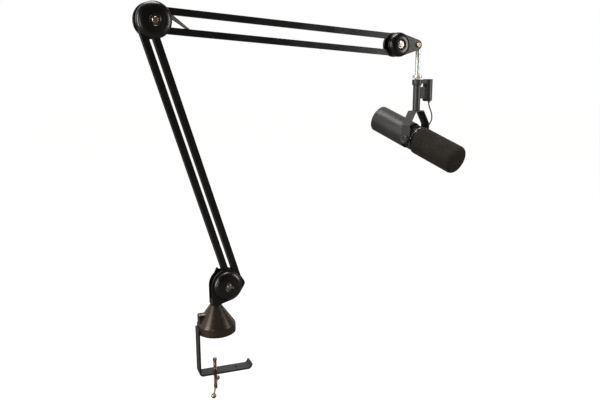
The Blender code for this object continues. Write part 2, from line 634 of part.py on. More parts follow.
def build_shoulder(parts, tools):
    neck_bottom = CONE_TOP_Z + GAP
    neck_top = neck_bottom + 0.013
    neck_half_depth = RAIL_HALF + PLATE_CLEARANCE - GAP
    core = SPIGOT_RADIUS - 0.0012
    post = turned("shoulder_post", [
        (0, neck_bottom + 0.004), (core, neck_bottom + 0.004), (core, CONE_TOP_Z), (SPIGOT_RADIUS, CONE_TOP_Z),
        (SPIGOT_RADIUS, SPIGOT_BOTTOM_Z), (0, SPIGOT_BOTTOM_Z)], Matrix.Identity(4), parts, 20)
    neck = block("neck_blank", (2 * NECK_HALF_WIDTH, 2 * neck_half_depth, neck_top - neck_bottom),
                 (0, 0, (neck_top + neck_bottom) / 2), tools)
    fuse(post, neck)
    corner = 0.001
    outline = wrap_outline([
        (SHOULDER_CENTRE.x, SHOULDER_CENTRE.z, SHOULDER_PLATE_RADIUS, 40),
        (FRONT_FOOT.x, FRONT_FOOT.z, SHOULDER_NOSE_RADIUS, 20),
        (NECK_HALF_WIDTH - corner, neck_bottom + corner, corner, 8),
        (corner - NECK_HALF_WIDTH, neck_bottom + corner, corner, 8)])
    plates = housing_plates("shoulder", outline, (REAR_FOOT, FRONT_FOOT), SHOULDER_CENTRE, parts, tools)
    ear = [SHOULDER_CENTRE + Vector((-sin(a), 0, cos(a))) * (SHOULDER_PLATE_RADIUS + out)
           for a, out in ((STOP_EAR_ANGLE, STOP_EAR_HEIGHT), (STOP_EAR_ANGLE - 0.14, -0.003),
                          (STOP_EAR_ANGLE, -0.006), (STOP_EAR_ANGLE + 0.36, -0.002))]
    rear_place = Matrix.Translation((0, PLATE_INNER_Y + PLATE_THICKNESS / 2, 0)) @ UPRIGHT
    fuse(plates[1], plate("stop_ear", wrap_outline([(p.x, p.z, 0.0008, 6) for p in ear]),
                          PLATE_THICKNESS, rear_place, tools))
    covers = [joint_cover(f"shoulder_cover_{label}", SHOULDER_CENTRE, side, SHOULDER_COVER_RADIUS,
                          SHOULDER_RECESS_RADIUS, parts) for label, side in (("front", -1), ("rear", 1))]
    screw = cover_screw("shoulder_screw", SHOULDER_CENTRE, SHOULDER_RECESS_RADIUS, parts, tools)
    pins = [pivot_pin("shoulder_pin_a", REAR_FOOT, parts), pivot_pin("shoulder_pin_b", FRONT_FOOT, parts)]
    place_finish(post, "black_paint")
    return [post, screw, *plates, *covers, *pins]


def build_elbow(parts, tools):
    pivots = (REAR_HEAD, FRONT_HEAD, TOP_ROOT, BOTTOM_ROOT)
    outline = wrap_outline([(ELBOW_CENTRE.x, ELBOW_CENTRE.z, ELBOW_PLATE_RADIUS, 40)])
    plates = housing_plates("elbow", outline, pivots, ELBOW_CENTRE, parts, tools)
    covers = [joint_cover(f"elbow_cover_{label}", ELBOW_CENTRE, side, ELBOW_COVER_RADIUS,
                          ELBOW_RECESS_RADIUS, parts) for label, side in (("front", -1), ("rear", 1))]
    screw = cover_screw("elbow_screw", ELBOW_CENTRE, ELBOW_RECESS_RADIUS, parts, tools)
    pins = [pivot_pin(f"elbow_pin_{letter}", pivot, parts) for letter, pivot in zip("abcd", pivots)]
    return [screw, *plates, *covers, *pins]


def build_end(parts, tools):
    outline = wrap_outline([
        (END_CENTRE.x, END_CENTRE.z, END_PLATE_RADIUS, 36),
        (ROD_PIVOT.x, ROD_PIVOT.z, TIP_PLATE_RADIUS, 24)])
    pivots = (TOP_TIP, BOTTOM_TIP, ROD_PIVOT)
    plates = housing_plates("end", outline, pivots, END_CENTRE, parts, tools)
    covers = [joint_cover(f"end_cover_{label}", END_CENTRE, side, END_COVER_RADIUS, END_RECESS_RADIUS, parts)
              for label, side in (("front", -1), ("rear", 1))]
    screw = cover_screw("end_screw", END_CENTRE, END_RECESS_RADIUS, parts, tools)
    pins = [pivot_pin("end_pin_a", TOP_TIP, parts), pivot_pin("end_pin_b", BOTTOM_TIP, parts)]
    shank, head = PLATE_OUTER_Y + GAP, PLATE_OUTER_Y + GAP + 0.0030
    bolt = turned("tip_bolt", [
        (0, head), (0.0046, head), (0.0054, head - 0.0008), (0.0054, shank), (PIN_RADIUS, shank),
        (PIN_RADIUS, -shank), (0.0054, -shank), (0.0054, 0.0008 - head), (0.0046, -head), (0, -head)],
        side_frame(ROD_PIVOT, 1), parts, SMALL_STEPS + 2)
    cut(bolt, turned("tip_bolt_socket", rod_profile(0.0026, -0.02, 0.0014 - head), side_frame(ROD_PIVOT, 1), tools, 6))
    place_finish(bolt, "bright_steel")
    return [screw, bolt, *plates, *covers, *pins]


def build_rails(parts, tools):
    rear = rail("lower_rail_rear", REAR_FOOT, REAR_HEAD, parts, tools)
    front = rail("lower_rail_front", FRONT_FOOT, FRONT_HEAD, parts, tools)
    top = rail("upper_rail_top", TOP_ROOT, TOP_TIP, parts, tools)
    bottom = rail("upper_rail_bottom", BOTTOM_ROOT, BOTTOM_TIP, parts, tools)
    springs = [spring("lower_spring_rear", REAR_FOOT, LOWER_DIRECTION, LOWER_SPRING_LENGTH, parts),
               spring("lower_spring_front", FRONT_FOOT, LOWER_DIRECTION, LOWER_SPRING_LENGTH, parts),
               spring("upper_spring", BOTTOM_ROOT, UPPER_DIRECTION, UPPER_SPRING_LENGTH, parts)]

    # The draw bar hangs from the top rail's inner pin and works in a slot of the bottom rail.
    run = ((UPPER_PIVOT_SPACING - DRAW_BAR_TIP_HEIGHT)
           / (tan(DRAW_BAR_ANGLE) - tan(UPPER_ARM_DROOP)))
    tip = TOP_ROOT + Vector((run, 0, -run * tan(DRAW_BAR_ANGLE)))
    eye_x = TOP_ROOT.x
    draw_bar = plate("draw_bar", wrap_outline([
        (eye_x, TOP_ROOT.z, DRAW_BAR_EYE_RADIUS, 16), (tip.x, tip.z, DRAW_BAR_TIP_RADIUS, 12)]),
        DRAW_BAR_THICKNESS, UPRIGHT, parts)
    cut(draw_bar, cross_pin("draw_bar_eye", TOP_ROOT, PIN_RADIUS + RUNNING_GAP, 0.01, tools))

    upper_turn = Vector((0, 1, 0))
    normal = UPPER_DIRECTION.cross(upper_turn)
    slot_width = DRAW_BAR_THICKNESS + 0.002
    bottom_place = frame_at(BOTTOM_ROOT, UPPER_DIRECTION, upper_turn, normal)
    slot_sign = 1 if normal.z > 0 else -1
    crossing = (tip - BOTTOM_ROOT).dot(UPPER_DIRECTION) - SLIDE_SLOT_LEAD
    slide_slot = block("slide_slot", (SLIDE_SLOT_LENGTH, slot_width, 2 * RAIL_WALL),
                       (crossing, 0, slot_sign * (RAIL_HALF - RAIL_WALL / 2)), tools, bottom_place)
    cut(bottom, slide_slot)
    top_place = frame_at(TOP_ROOT, UPPER_DIRECTION, upper_turn, normal)
    exit_length = 0.042
    exit_slot = block("exit_slot", (exit_length, slot_width, 2 * RAIL_WALL),
                      (exit_length / 2 - 0.010, 0, -slot_sign * (RAIL_HALF - RAIL_WALL / 2)), tools, top_place)
    cut(top, exit_slot)
    place_finish(draw_bar, "spring_steel")
    return rear, front, top, bottom, springs, draw_bar


# ======================================================================================
# Drop rod, mount and yoke
# ======================================================================================

def build_drop_rod(parts, tools):
    axis_foot = Matrix.Translation((ROD_AXIS_X, 0, 0))
    flange_top = FLANGE_BOTTOM_Z + FLANGE_THICKNESS
    rod = turned("drop_rod", [
        (0, ROD_PIVOT.z + 0.002), (ROD_RADIUS, ROD_PIVOT.z + 0.002), (ROD_RADIUS, flange_top),
        (FLANGE_RADIUS - 0.0015, flange_top), (FLANGE_RADIUS, flange_top - 0.0015),
        (FLANGE_RADIUS, FLANGE_BOTTOM_Z + 0.0015), (FLANGE_RADIUS - 0.0015, FLANGE_BOTTOM_Z),
        (STUD_RADIUS, FLANGE_BOTTOM_Z), (STUD_RADIUS, FLANGE_BOTTOM_Z - STUD_LENGTH),
        (0, FLANGE_BOTTOM_Z - STUD_LENGTH)], axis_foot, parts, 20)
    head = cross_pin("rod_head", ROD_PIVOT, ROD_HEAD_RADIUS, PLATE_INNER_Y - ROD_HEAD_GAP, tools, 24)
    hole = cross_pin("rod_head_hole", ROD_PIVOT, PIN_RADIUS + RUNNING_GAP, 0.02, tools)
    fuse(rod, head)
    cut(rod, hole)
    nut = turned("lock_nut", tube_profile(LOCK_NUT_RADIUS, STUD_RADIUS + GAP, NUT_BOTTOM_Z,
                                          NUT_BOTTOM_Z + LOCK_NUT_THICKNESS), axis_foot, parts, 20, closed=True)
    place_finish(rod, "pale_chrome")
    place_finish(nut, "bright_steel")
    return rod, nut


def mount_point(across, forward, height):
    """A point by its distance to the far side of the yoke, its distance forward and its z."""
    return Vector((ROD_AXIS_X, 0, height)) - PIVOT_AXIS * across + FORWARD * forward


def build_mount(parts, tools):
    axis_foot = Matrix.Translation((ROD_AXIS_X, 0, 0))
    bore_bottom = FLANGE_BOTTOM_Z - STUD_LENGTH - 0.001
    post = turned("mount_post", [
        (STUD_RADIUS + GAP, POST_TOP_Z), (POST_RADIUS - 0.0006, POST_TOP_Z),
        (POST_RADIUS, POST_TOP_Z - 0.0006), (POST_RADIUS, POST_BOTTOM_Z), (0, POST_BOTTOM_Z),
        (0, bore_bottom), (STUD_RADIUS + GAP, bore_bottom)], axis_foot, parts, 24, closed=True)

    ring_bore = POST_RADIUS + GAP
    ring_top = POST_TOP_Z
    housing_centre = mount_point(HOUSING_OFFSET, 0, 0)
    housing_bottom = ring_top - HOUSING_HEIGHT
    cup_floor = ring_top - CUP_DEPTH
    housing = turned("connector_housing", [
        (CUP_RADIUS, ring_top), (HOUSING_RADIUS - 0.0006, ring_top), (HOUSING_RADIUS, ring_top - 0.0006),
        (HOUSING_RADIUS, housing_bottom + 0.003), (HOUSING_RADIUS - 0.0012, housing_bottom + 0.001),
        (HOUSING_RADIUS - 0.003, housing_bottom), (0, housing_bottom), (0, cup_floor),
        (CUP_RADIUS, cup_floor)], Matrix.Translation(housing_centre), parts, 24, closed=True)
    ring = turned("ring_blank", [
        (ring_bore, ring_top - 0.0002), (RING_RADIUS, ring_top - 0.0002),
        (RING_RADIUS, ring_top - RING_HEIGHT + 0.004), (ring_bore + 0.0012, ring_top - RING_HEIGHT),
        (ring_bore, ring_top - RING_HEIGHT)], axis_foot, tools, 24, closed=True)
    arm_start, arm_end = ring_bore + 0.001, HOUSING_OFFSET - CUP_RADIUS - 0.001
    far_frame = frame_at(Vector((ROD_AXIS_X, 0, 0)), -PIVOT_AXIS, FORWARD, (-PIVOT_AXIS).cross(FORWARD))
    up = far_frame.col[2].z
    arm = block("arm_blank", (arm_end - arm_start, 0.010, 0.009),
                ((arm_start + arm_end) / 2, 0, up * (ring_top - 0.0052)), tools, far_frame)
    web_start, web_end = POST_RADIUS + GAP, HOUSING_OFFSET - HOUSING_RADIUS + 0.002
    web_top, web_bottom = ring_top - WEB_TOP_DROP, ring_top - WEB_BOTTOM_DROP
    web = block("web_blank", (web_end - web_start, WEB_THICKNESS, web_top - web_bottom),
                ((web_start + web_end) / 2, 0, up * (web_top + web_bottom) / 2), tools, far_frame)
    exit_boss = turned("exit_boss", rod_profile(LEAD_BOSS_RADIUS, housing_bottom - LEAD_EXIT_LENGTH, housing_bottom + 0.003),
                       Matrix.Translation(mount_point(HOUSING_OFFSET + LEAD_EXIT_OFFSET, 0, 0)), tools, SMALL_STEPS)
    fuse(housing, arm, ring, web, exit_boss)

    insert_bottom = cup_floor + GAP
    insert = turned("connector_insert", rod_profile(CUP_RADIUS - GAP, insert_bottom, insert_bottom + INSERT_THICKNESS),
                    Matrix.Translation(housing_centre), parts, 20)
    for number in range(3):
        angle = radians(90 + 120 * number)
        centre = housing_centre + Vector((CONTACT_CIRCLE * cos(angle), CONTACT_CIRCLE * sin(angle), 0))
        fuse(insert, turned(f"contact_{number}", rod_profile(
            CONTACT_RADIUS, insert_bottom + 0.001, insert_bottom + INSERT_THICKNESS + CONTACT_LENGTH),
            Matrix.Translation(centre), tools, 8))
    place_finish(post, "graphite_paint")
    place_finish(housing, "graphite_paint")
    place_finish(insert, "black_plastic")
    return post, housing, insert


def lead_gland():
    """Root and outward direction of the lead's gland on the yoke's far arm."""
    root = mount_point(YOKE_ARM_OFFSET, 0, YOKE_PIVOT_Z + LEAD_GLAND_RISE)
    return root, -PIVOT_AXIS * cos(LEAD_GLAND_SLOPE) + Vector((0, 0, sin(LEAD_GLAND_SLOPE)))


def build_yoke(parts, tools):
    arm_end = -0.003
    half_path = [(YOKE_TOP_HALF, YOKE_RISE), (YOKE_ARM_OFFSET, YOKE_KNEE_RISE), (YOKE_ARM_OFFSET, arm_end)]
    path = [(-x, z) for x, z in half_path[::-1]] + half_path
    place = frame_at(MIC_PIVOT, PIVOT_AXIS, Vector((0, 0, 1)), PIVOT_AXIS.cross(Vector((0, 0, 1))))
    yoke = plate("yoke", ribbon_outline(path, YOKE_THICKNESS), YOKE_WIDTH, place, parts)
    for label, side in (("near", 1), ("far", -1)):
        centre = MIC_PIVOT + PIVOT_AXIS * side * YOKE_ARM_OFFSET
        ear_half = YOKE_THICKNESS / 2 + 0.0003
        ear = turned(f"ear_{label}", rod_profile(YOKE_END_RADIUS, -ear_half, ear_half),
                     lathe_frame(centre, PIVOT_AXIS), tools, 24)
        hole = turned(f"ear_hole_{label}", rod_profile(KNOB_SCREW_RADIUS + GAP, -0.01, 0.01),
                      lathe_frame(centre, PIVOT_AXIS), tools, SMALL_STEPS)
        fuse(yoke, ear)
        cut(yoke, hole)
    gland_place, gland_axis = lead_gland()
    fuse(yoke, turned("lead_gland", rod_profile(LEAD_BOSS_RADIUS, 0, LEAD_GLAND_LENGTH),
                      lathe_frame(gland_place, gland_axis), tools, SMALL_STEPS))
    return place_finish(yoke, "graphite_paint")


def build_knob(label, side, parts):
    outer = YOKE_ARM_OFFSET + YOKE_THICKNESS / 2 + 0.0003 + GAP
    screw_end = COLLAR_RADIUS + 0.001 - outer
    knob = turned(f"tilt_knob_{label}", [
        (0, KNOB_THICKNESS), (KNOB_RADIUS - 0.003, KNOB_THICKNESS), (KNOB_RADIUS - 0.0008, KNOB_THICKNESS - 0.0012),
        (KNOB_RADIUS, KNOB_THICKNESS - 0.003), (KNOB_RADIUS, 0.0008), (KNOB_RADIUS - 0.0008, 0),
        (KNOB_SCREW_RADIUS, 0), (KNOB_SCREW_RADIUS, screw_end), (0, screw_end)],
        lathe_frame(MIC_PIVOT + PIVOT_AXIS * side * outer, PIVOT_AXIS * side), parts, 20)
    return place_finish(knob, "graphite_paint")


def smooth_route(points, steps):
    """Points along the Catmull-Rom curve through a hand-chosen route."""
    ends = [2 * points[0] - points[1], *points, 2 * points[-1] - points[-2]]
    route = []
    for a, b, c, d in zip(ends, ends[1:], ends[2:], ends[3:]):
        for step in range(steps):
            t = step / steps
            route.append(0.5 * (2 * b + (c - a) * t + (2 * a - 5 * b + 4 * c - d) * t ** 2
                                + (3 * b - a - 3 * c + d) * t ** 3))
    return route + [points[-1]]


def build_lead(parts):
    """The captive lead from the connector housing to the far arm of the yoke."""
    start_z = POST_TOP_Z - HOUSING_HEIGHT - LEAD_EXIT_LENGTH - GAP
    exit_across = HOUSING_OFFSET + LEAD_EXIT_OFFSET
    gland_root, gland_axis = lead_gland()
    end = gland_root + gland_axis * (LEAD_GLAND_LENGTH + GAP)
    route = [mount_point(exit_across + across, 0, start_z - drop) for across, drop in (
        (0, 0), (0.0003, 0.0040), (0.0045, 0.0120), (0.0110, 0.0220), (0.0148, 0.0320),
        (0.0138, 0.0420), (0.0058, 0.0510))]
    route += [end + gland_axis * 0.0045, end]
    curve = bpy.data.curves.new("lead", "CURVE")
    curve.dimensions = "3D"
    curve.bevel_depth = LEAD_DIAMETER / 2
    curve.bevel_resolution = 2
    curve.use_fill_caps = True
    points = smooth_route(route, 2)
    spline = curve.splines.new("POLY")
    spline.points.add(len(points) - 1)
    for point, place in zip(spline.points, points):
        point.co = (*place, 1)
    lead = bpy.data.objects.new("lead", curve)
    parts.objects.link(lead)
    return place_finish(lead, "black_rubber")


# ======================================================================================
# Microphone
# ======================================================================================

def mic_frame():
    """Local X along the tilt pivot, towards the near knob; local Z out of the front."""
    return frame_at(MIC_PIVOT, PIVOT_AXIS, MIC_AXIS.cross(PIVOT_AXIS), MIC_AXIS)


def build_microphone(parts, tools):
    place = mic_frame()
    rear, front, edge, wall = -SHELL_REAR, -SHELL_FRONT, SHELL_EDGE, SHELL_WALL
    lip = REAR_PLATE_RADIUS + GAP
    shell = turned("rear_shell", [
        (SHELL_RADIUS - wall, front), (SHELL_RADIUS - 0.0004, front), (SHELL_RADIUS, front - 0.0004),
        (SHELL_RADIUS, rear + edge), (SHELL_RADIUS - edge * 0.18, rear + edge * 0.45),
        (SHELL_RADIUS - edge * 0.5, rear + edge * 0.14), (SHELL_RADIUS - edge, rear), (lip, rear),
        (lip, rear + 0.006), (SHELL_RADIUS - wall, rear + 0.0085)], place, parts, 36, closed=True)

    plate_rear = rear + REAR_PLATE_INSET
    back = turned("rear_plate", rod_profile(REAR_PLATE_RADIUS, plate_rear, plate_rear + REAR_PLATE_THICKNESS),
                  place, parts, 32)
    switches = []
    for label, side in (("left", 1), ("right", -1)):
        middle = Vector((side * SWITCH_OFFSET, 0, plate_rear + REAR_PLATE_THICKNESS / 2))
        cut(back, block(f"switch_slot_{label}", (SWITCH_SLOT_WIDTH, SWITCH_SLOT_LENGTH, 0.02), middle, tools, place))
        travel_start = Vector((0, -SWITCH_TRAVEL / 2, 0))
        slider = block(f"switch_{label}", (SWITCH_SLOT_WIDTH - 2 * GAP,
                                           SWITCH_SLOT_LENGTH - SWITCH_TRAVEL - 2 * GAP, 0.0042),
                       middle + travel_start, parts, place)
        switches.append(place_finish(slider, "black_plastic"))

    boss_end = YOKE_ARM_OFFSET - YOKE_THICKNESS / 2 - 0.0003 - GAP
    collar = turned("collar", tube_profile(COLLAR_RADIUS, COLLAR_BORE, -COLLAR_HALF_LENGTH, COLLAR_HALF_LENGTH),
                    place, parts, 32, closed=True)
    for label, side in (("near", 1), ("far", -1)):
        direction = PIVOT_AXIS * side
        root = COLLAR_BORE + 0.002
        boss = turned(f"collar_boss_{label}", rod_profile(COLLAR_BOSS_RADIUS, root, boss_end),
                      lathe_frame(MIC_PIVOT, direction), tools, 20)
        hole = turned(f"collar_tap_{label}", rod_profile(KNOB_SCREW_RADIUS + GAP, COLLAR_RADIUS, boss_end + 0.01),
                      lathe_frame(MIC_PIVOT, direction), tools, SMALL_STEPS)
        fuse(collar, boss)
        cut(collar, hole)

    grille_outer = COLLAR_BORE - GAP
    inner = grille_outer - GRILLE_WALL
    grille = turned("grille_tube", [
        (0, GRILLE_FRONT), (grille_outer * 0.55, GRILLE_FRONT - 0.0012), (grille_outer * 0.88, GRILLE_FRONT - 0.005),
        (grille_outer, GRILLE_FRONT - 0.011), (grille_outer, GRILLE_REAR), (inner, GRILLE_REAR),
        (inner, GRILLE_FRONT - 0.0115), (inner * 0.86, GRILLE_FRONT - 0.0064),
        (inner * 0.52, GRILLE_FRONT - 0.0027), (0, GRILLE_FRONT - GRILLE_WALL)], place, parts)

    socket = grille_outer + FOAM_SOCKET_GAP
    socket_end = GRILLE_FRONT + 0.001
    foam = turned("foam_windscreen", [
        (0, FOAM_FRONT), (FOAM_RADIUS - FOAM_EDGE, FOAM_FRONT), (FOAM_RADIUS - FOAM_EDGE * 0.5, FOAM_FRONT - FOAM_EDGE * 0.14),
        (FOAM_RADIUS - FOAM_EDGE * 0.14, FOAM_FRONT - FOAM_EDGE * 0.5), (FOAM_RADIUS, FOAM_FRONT - FOAM_EDGE),
        (FOAM_RADIUS, FOAM_REAR + 0.003), (FOAM_RADIUS - 0.002, FOAM_REAR), (socket, FOAM_REAR),
        (socket, socket_end), (0, socket_end)], place, parts, 32)

    capsule = turned("capsule", [
        (0, CAPSULE_FRONT), (CAPSULE_RADIUS - 0.002, CAPSULE_FRONT), (CAPSULE_RADIUS, CAPSULE_FRONT - 0.002),
        (CAPSULE_RADIUS, CAPSULE_REAR + 0.002), (CAPSULE_RADIUS - 0.004, CAPSULE_REAR), (0, CAPSULE_REAR)],
        place, parts, 24)
    ring_middle = (CAPSULE_REAR + CAPSULE_FRONT) / 2
    shock = turned("shock_ring", tube_profile(inner - GAP, CAPSULE_RADIUS + GAP, ring_middle - SHOCK_RING_THICKNESS / 2,
                                              ring_middle + SHOCK_RING_THICKNESS / 2), place, parts, 24, closed=True)
    transformer = block("transformer", TRANSFORMER_SIZE, (0, 0, TRANSFORMER_FROM_PIVOT), parts, place)

    for obj, finish in ((shell, "graphite_paint"), (back, "graphite_paint"), (collar, "black_plastic"),
                        (grille, "spring_steel"), (foam, "dark_foam"), (capsule, "bright_steel"),
                        (shock, "black_rubber"), (transformer, "bright_steel")):
        place_finish(obj, finish)
    return [shell, back, collar, grille, foam, capsule, shock, transformer], switches


# ======================================================================================
# Assembly
# ======================================================================================

def main():
    clear_scene()
    parts = new_collection("boom_microphone")
    tools = new_collection("cutters")

    build_base(parts, tools)
    clamp_pad, clamp_screw, tommy = build_clamp(parts, tools)
    shoulder_pieces = build_shoulder(parts, tools)
    rear, front, top, bottom, springs, draw_bar = build_rails(parts, tools)
    elbow_pieces = build_elbow(parts, tools)
    end_pieces = build_end(parts, tools)
    rod, nut = build_drop_rod(parts, tools)
    mount_pieces = build_mount(parts, tools)
    yoke = build_yoke(parts, tools)
    knobs = [build_knob("near", 1, parts), build_knob("far", -1, parts)]
    lead = build_lead(parts)
    mic_pieces, switches = build_microphone(parts, tools)

    def at(point):
        return Matrix.Translation(point)

    clamp_slide = joint_empty("clamp_slide", at(clamp_pad.matrix_world.translation), parts)
    clamp_turn = joint_empty("clamp_turn", at(clamp_pad.matrix_world.translation), parts, clamp_slide)
    swivel = joint_empty("base_swivel", at((0, 0, CONE_TOP_Z)), parts)
    rear_foot = joint_empty("rear_foot", at(REAR_FOOT), parts, swivel)
    front_foot = joint_empty("front_foot", at(FRONT_FOOT), parts, swivel)
    elbow = joint_empty("elbow", at(REAR_HEAD), parts, rear_foot)
    bottom_root = joint_empty("bottom_root", at(BOTTOM_ROOT), parts, elbow)
    top_root = joint_empty("top_root", at(TOP_ROOT), parts, elbow)
    end = joint_empty("end", at(BOTTOM_TIP), parts, bottom_root)
    rod_pivot = joint_empty("rod_pivot", at(ROD_PIVOT), parts, end)
    mount = joint_empty("mount_swivel", at((ROD_AXIS_X, 0, POST_TOP_Z)), parts, rod_pivot)
    mic = joint_empty("mic_tilt", mic_frame(), parts, mount)

    carry(clamp_slide, clamp_pad)
    carry(clamp_turn, clamp_screw, tommy)
    carry(swivel, *shoulder_pieces)
    carry(rear_foot, rear, springs[0])
    carry(front_foot, front, springs[1])
    carry(elbow, *elbow_pieces)
    carry(bottom_root, bottom, springs[2])
    carry(top_root, top, draw_bar)
    carry(end, *end_pieces)
    carry(rod_pivot, rod, nut)
    carry(mount, *mount_pieces, yoke, lead, *knobs)
    carry(mic, *mic_pieces, *switches)


main()
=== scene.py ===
"""Looks for a broadcast microphone hung from a desk-clamped, two-section boom arm.

Metres, +Z up.  The boom lies in the XZ plane, with its front covers facing -Y.
"""

import json
from math import cos, pi, radians, sin, tan

import bmesh
import bpy
from mathutils import Matrix, Vector


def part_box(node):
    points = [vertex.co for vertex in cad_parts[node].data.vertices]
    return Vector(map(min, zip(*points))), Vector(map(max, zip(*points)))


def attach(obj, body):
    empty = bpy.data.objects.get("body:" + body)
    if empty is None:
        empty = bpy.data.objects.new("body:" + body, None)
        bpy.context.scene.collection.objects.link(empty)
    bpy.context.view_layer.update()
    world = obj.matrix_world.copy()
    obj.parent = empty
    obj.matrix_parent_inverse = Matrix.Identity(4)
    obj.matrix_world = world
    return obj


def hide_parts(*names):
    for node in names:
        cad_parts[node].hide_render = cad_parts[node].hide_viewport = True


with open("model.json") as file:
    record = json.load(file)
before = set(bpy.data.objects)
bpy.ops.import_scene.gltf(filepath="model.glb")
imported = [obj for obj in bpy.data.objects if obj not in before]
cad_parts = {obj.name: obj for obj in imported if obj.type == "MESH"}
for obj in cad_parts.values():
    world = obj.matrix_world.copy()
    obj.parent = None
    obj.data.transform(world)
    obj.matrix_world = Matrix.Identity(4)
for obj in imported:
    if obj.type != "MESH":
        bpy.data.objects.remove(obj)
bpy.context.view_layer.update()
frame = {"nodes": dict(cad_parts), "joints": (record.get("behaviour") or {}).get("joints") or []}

# --- Sizes shared by several pieces, in metres ----------------------------------------
GAP = 0.0003
COVER_BASE_Y = 0.00975 + GAP
COVER_HEIGHT = 0.0117
DISH_DEPTH = 0.0042
COVER_BORE = 0.0028
MIC_TILT = radians(20.5)
SHELL_RADIUS, SHELL_REAR, SHELL_FRONT = 0.0317, 0.115, 0.0135
FOAM_RADIUS, FOAM_REAR, FOAM_FRONT = 0.0333, 0.0125, 0.1284
GRILLE_RADIUS, GRILLE_FRONT = 0.0242, 0.106
COLLAR_HALF = 0.0115
YOKE_ARM_OFFSET, YOKE_THICKNESS = 0.039, 0.0025
LEAD_DIAMETER = 0.003

JOINTS = {joint["name"]: joint for joint in frame["joints"]}


def joint_point(name):
    return Vector(JOINTS[name]["pos_m"])


def middle(node):
    low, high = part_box(node)
    return (Vector(low) + Vector(high)) / 2


def feed(tree, socket, value):
    """Sets a socket to a value, or links another socket into it."""
    if isinstance(value, bpy.types.NodeSocket):
        tree.links.new(value, socket)
    else:
        socket.default_value = value


def new_node(tree, kind, settings=None, **values):
    """Adds a node with its settings, then its inputs, whose spaces are written as underscores."""
    node = tree.nodes.new(kind)
    for label, value in (settings or {}).items():
        setattr(node, label, value)
    for label, value in values.items():
        feed(tree, node.inputs[label.replace("_", " ")], value)
    return node


def math_node(tree, operation, first, second=None):
    node = new_node(tree, "ShaderNodeMath", {"operation": operation})
    feed(tree, node.inputs[0], first)
    if second is not None:
        feed(tree, node.inputs[1], second)
    return node.outputs[0]


def remap(tree, value, low, high, to_low=0.0, to_high=1.0):
    return new_node(tree, "ShaderNodeMapRange", Value=value, From_Min=low, From_Max=high,
                    To_Min=to_low, To_Max=to_high).outputs["Result"]


def noise_at(tree, vector, scale, detail=2.0, roughness=0.5):
    return new_node(tree, "ShaderNodeTexNoise", Vector=vector, Scale=scale, Detail=detail,
                    Roughness=roughness).outputs["Fac"]


# ======================================================================================
# Camera, light and floor
# ======================================================================================

def build_camera():
    place = Vector((-0.47485, -1.24174, 0.55526))
    heading, dip, roll = radians(28.63), radians(11.66), radians(-0.24)
    ahead = Vector((sin(heading) * cos(dip), cos(heading) * cos(dip), -sin(dip)))
    level = Vector((cos(heading), -sin(heading), 0))
    over = level.cross(ahead)
    across = level * cos(roll) + over * sin(roll)
    up = over * cos(roll) - level * sin(roll)
    data = bpy.data.cameras.new("camera")
    data.lens = 39.8
    data.sensor_width = 36
    data.clip_end = 50
    camera = add_piece("camera", data)
    camera.matrix_world = frame_at(place, across, up, -ahead)
    bpy.context.scene.camera = camera


def softbox(name, place, target, width, height, watts, colour):
    data = bpy.data.lights.new(name, "AREA")
    data.shape = "RECTANGLE"
    data.size, data.size_y = width, height
    data.energy = watts
    data.color = colour
    aim = Vector(target) - Vector(place)
    turn = aim.to_track_quat("-Z", "Y").to_matrix().to_4x4()
    add_piece(name, data).matrix_world = Matrix.Translation(place) @ turn


def build_world():
    """White to the camera.  Everything else sees a white sweep behind and a dark room in front."""
    world = bpy.data.worlds.new("studio")
    bpy.context.scene.world = world
    world.use_nodes = True
    tree = world.node_tree
    tree.nodes.clear()
    toward = new_node(tree, "ShaderNodeTexCoord").outputs["Generated"]
    depth = new_node(tree, "ShaderNodeSeparateXYZ", Vector=toward).outputs["Y"]
    lit = new_node(tree, "ShaderNodeBackground", Color=(1, 0.975, 0.95, 1),
                   Strength=remap(tree, depth, -0.10, 0.60, 0.022, 0.85))
    seen = new_node(tree, "ShaderNodeBackground", Color=(1, 1, 1, 1), Strength=1.0)
    path = new_node(tree, "ShaderNodeLightPath")
    mix = new_node(tree, "ShaderNodeMixShader", Fac=path.outputs["Is Camera Ray"])
    feed(tree, mix.inputs[1], lit.outputs["Background"])
    feed(tree, mix.inputs[2], seen.outputs["Background"])
    new_node(tree, "ShaderNodeOutputWorld", Surface=mix.outputs["Shader"])


def build_floor():
    """A floor that is pale to the camera and throws little light back at the object."""
    mesh = bpy.data.meshes.new("floor")
    reach, level = 9.0, -0.134
    corners = [(x * reach, y * reach, level) for x, y in ((-1, -1), (1, -1), (1, 1), (-1, 1))]
    mesh.from_pydata(corners, [], [(0, 1, 2, 3)])
    floor = add_piece("floor", mesh)
    pale = bpy.data.materials.new("pale_floor")
    pale.use_nodes = True
    tree = pale.node_tree
    path = new_node(tree, "ShaderNodeLightPath")
    glow = math_node(tree, "MULTIPLY", path.outputs["Is Camera Ray"], 0.93)
    for label, value in (("Base Color", (0.16, 0.155, 0.15, 1)), ("Roughness", 0.9),
                         ("Specular IOR Level", 0.1), ("Emission Color", (1, 1, 1, 1)),
                         ("Emission Strength", glow)):
        feed(tree, tree.nodes["Principled BSDF"].inputs[label], value)
    mesh.materials.append(pale)


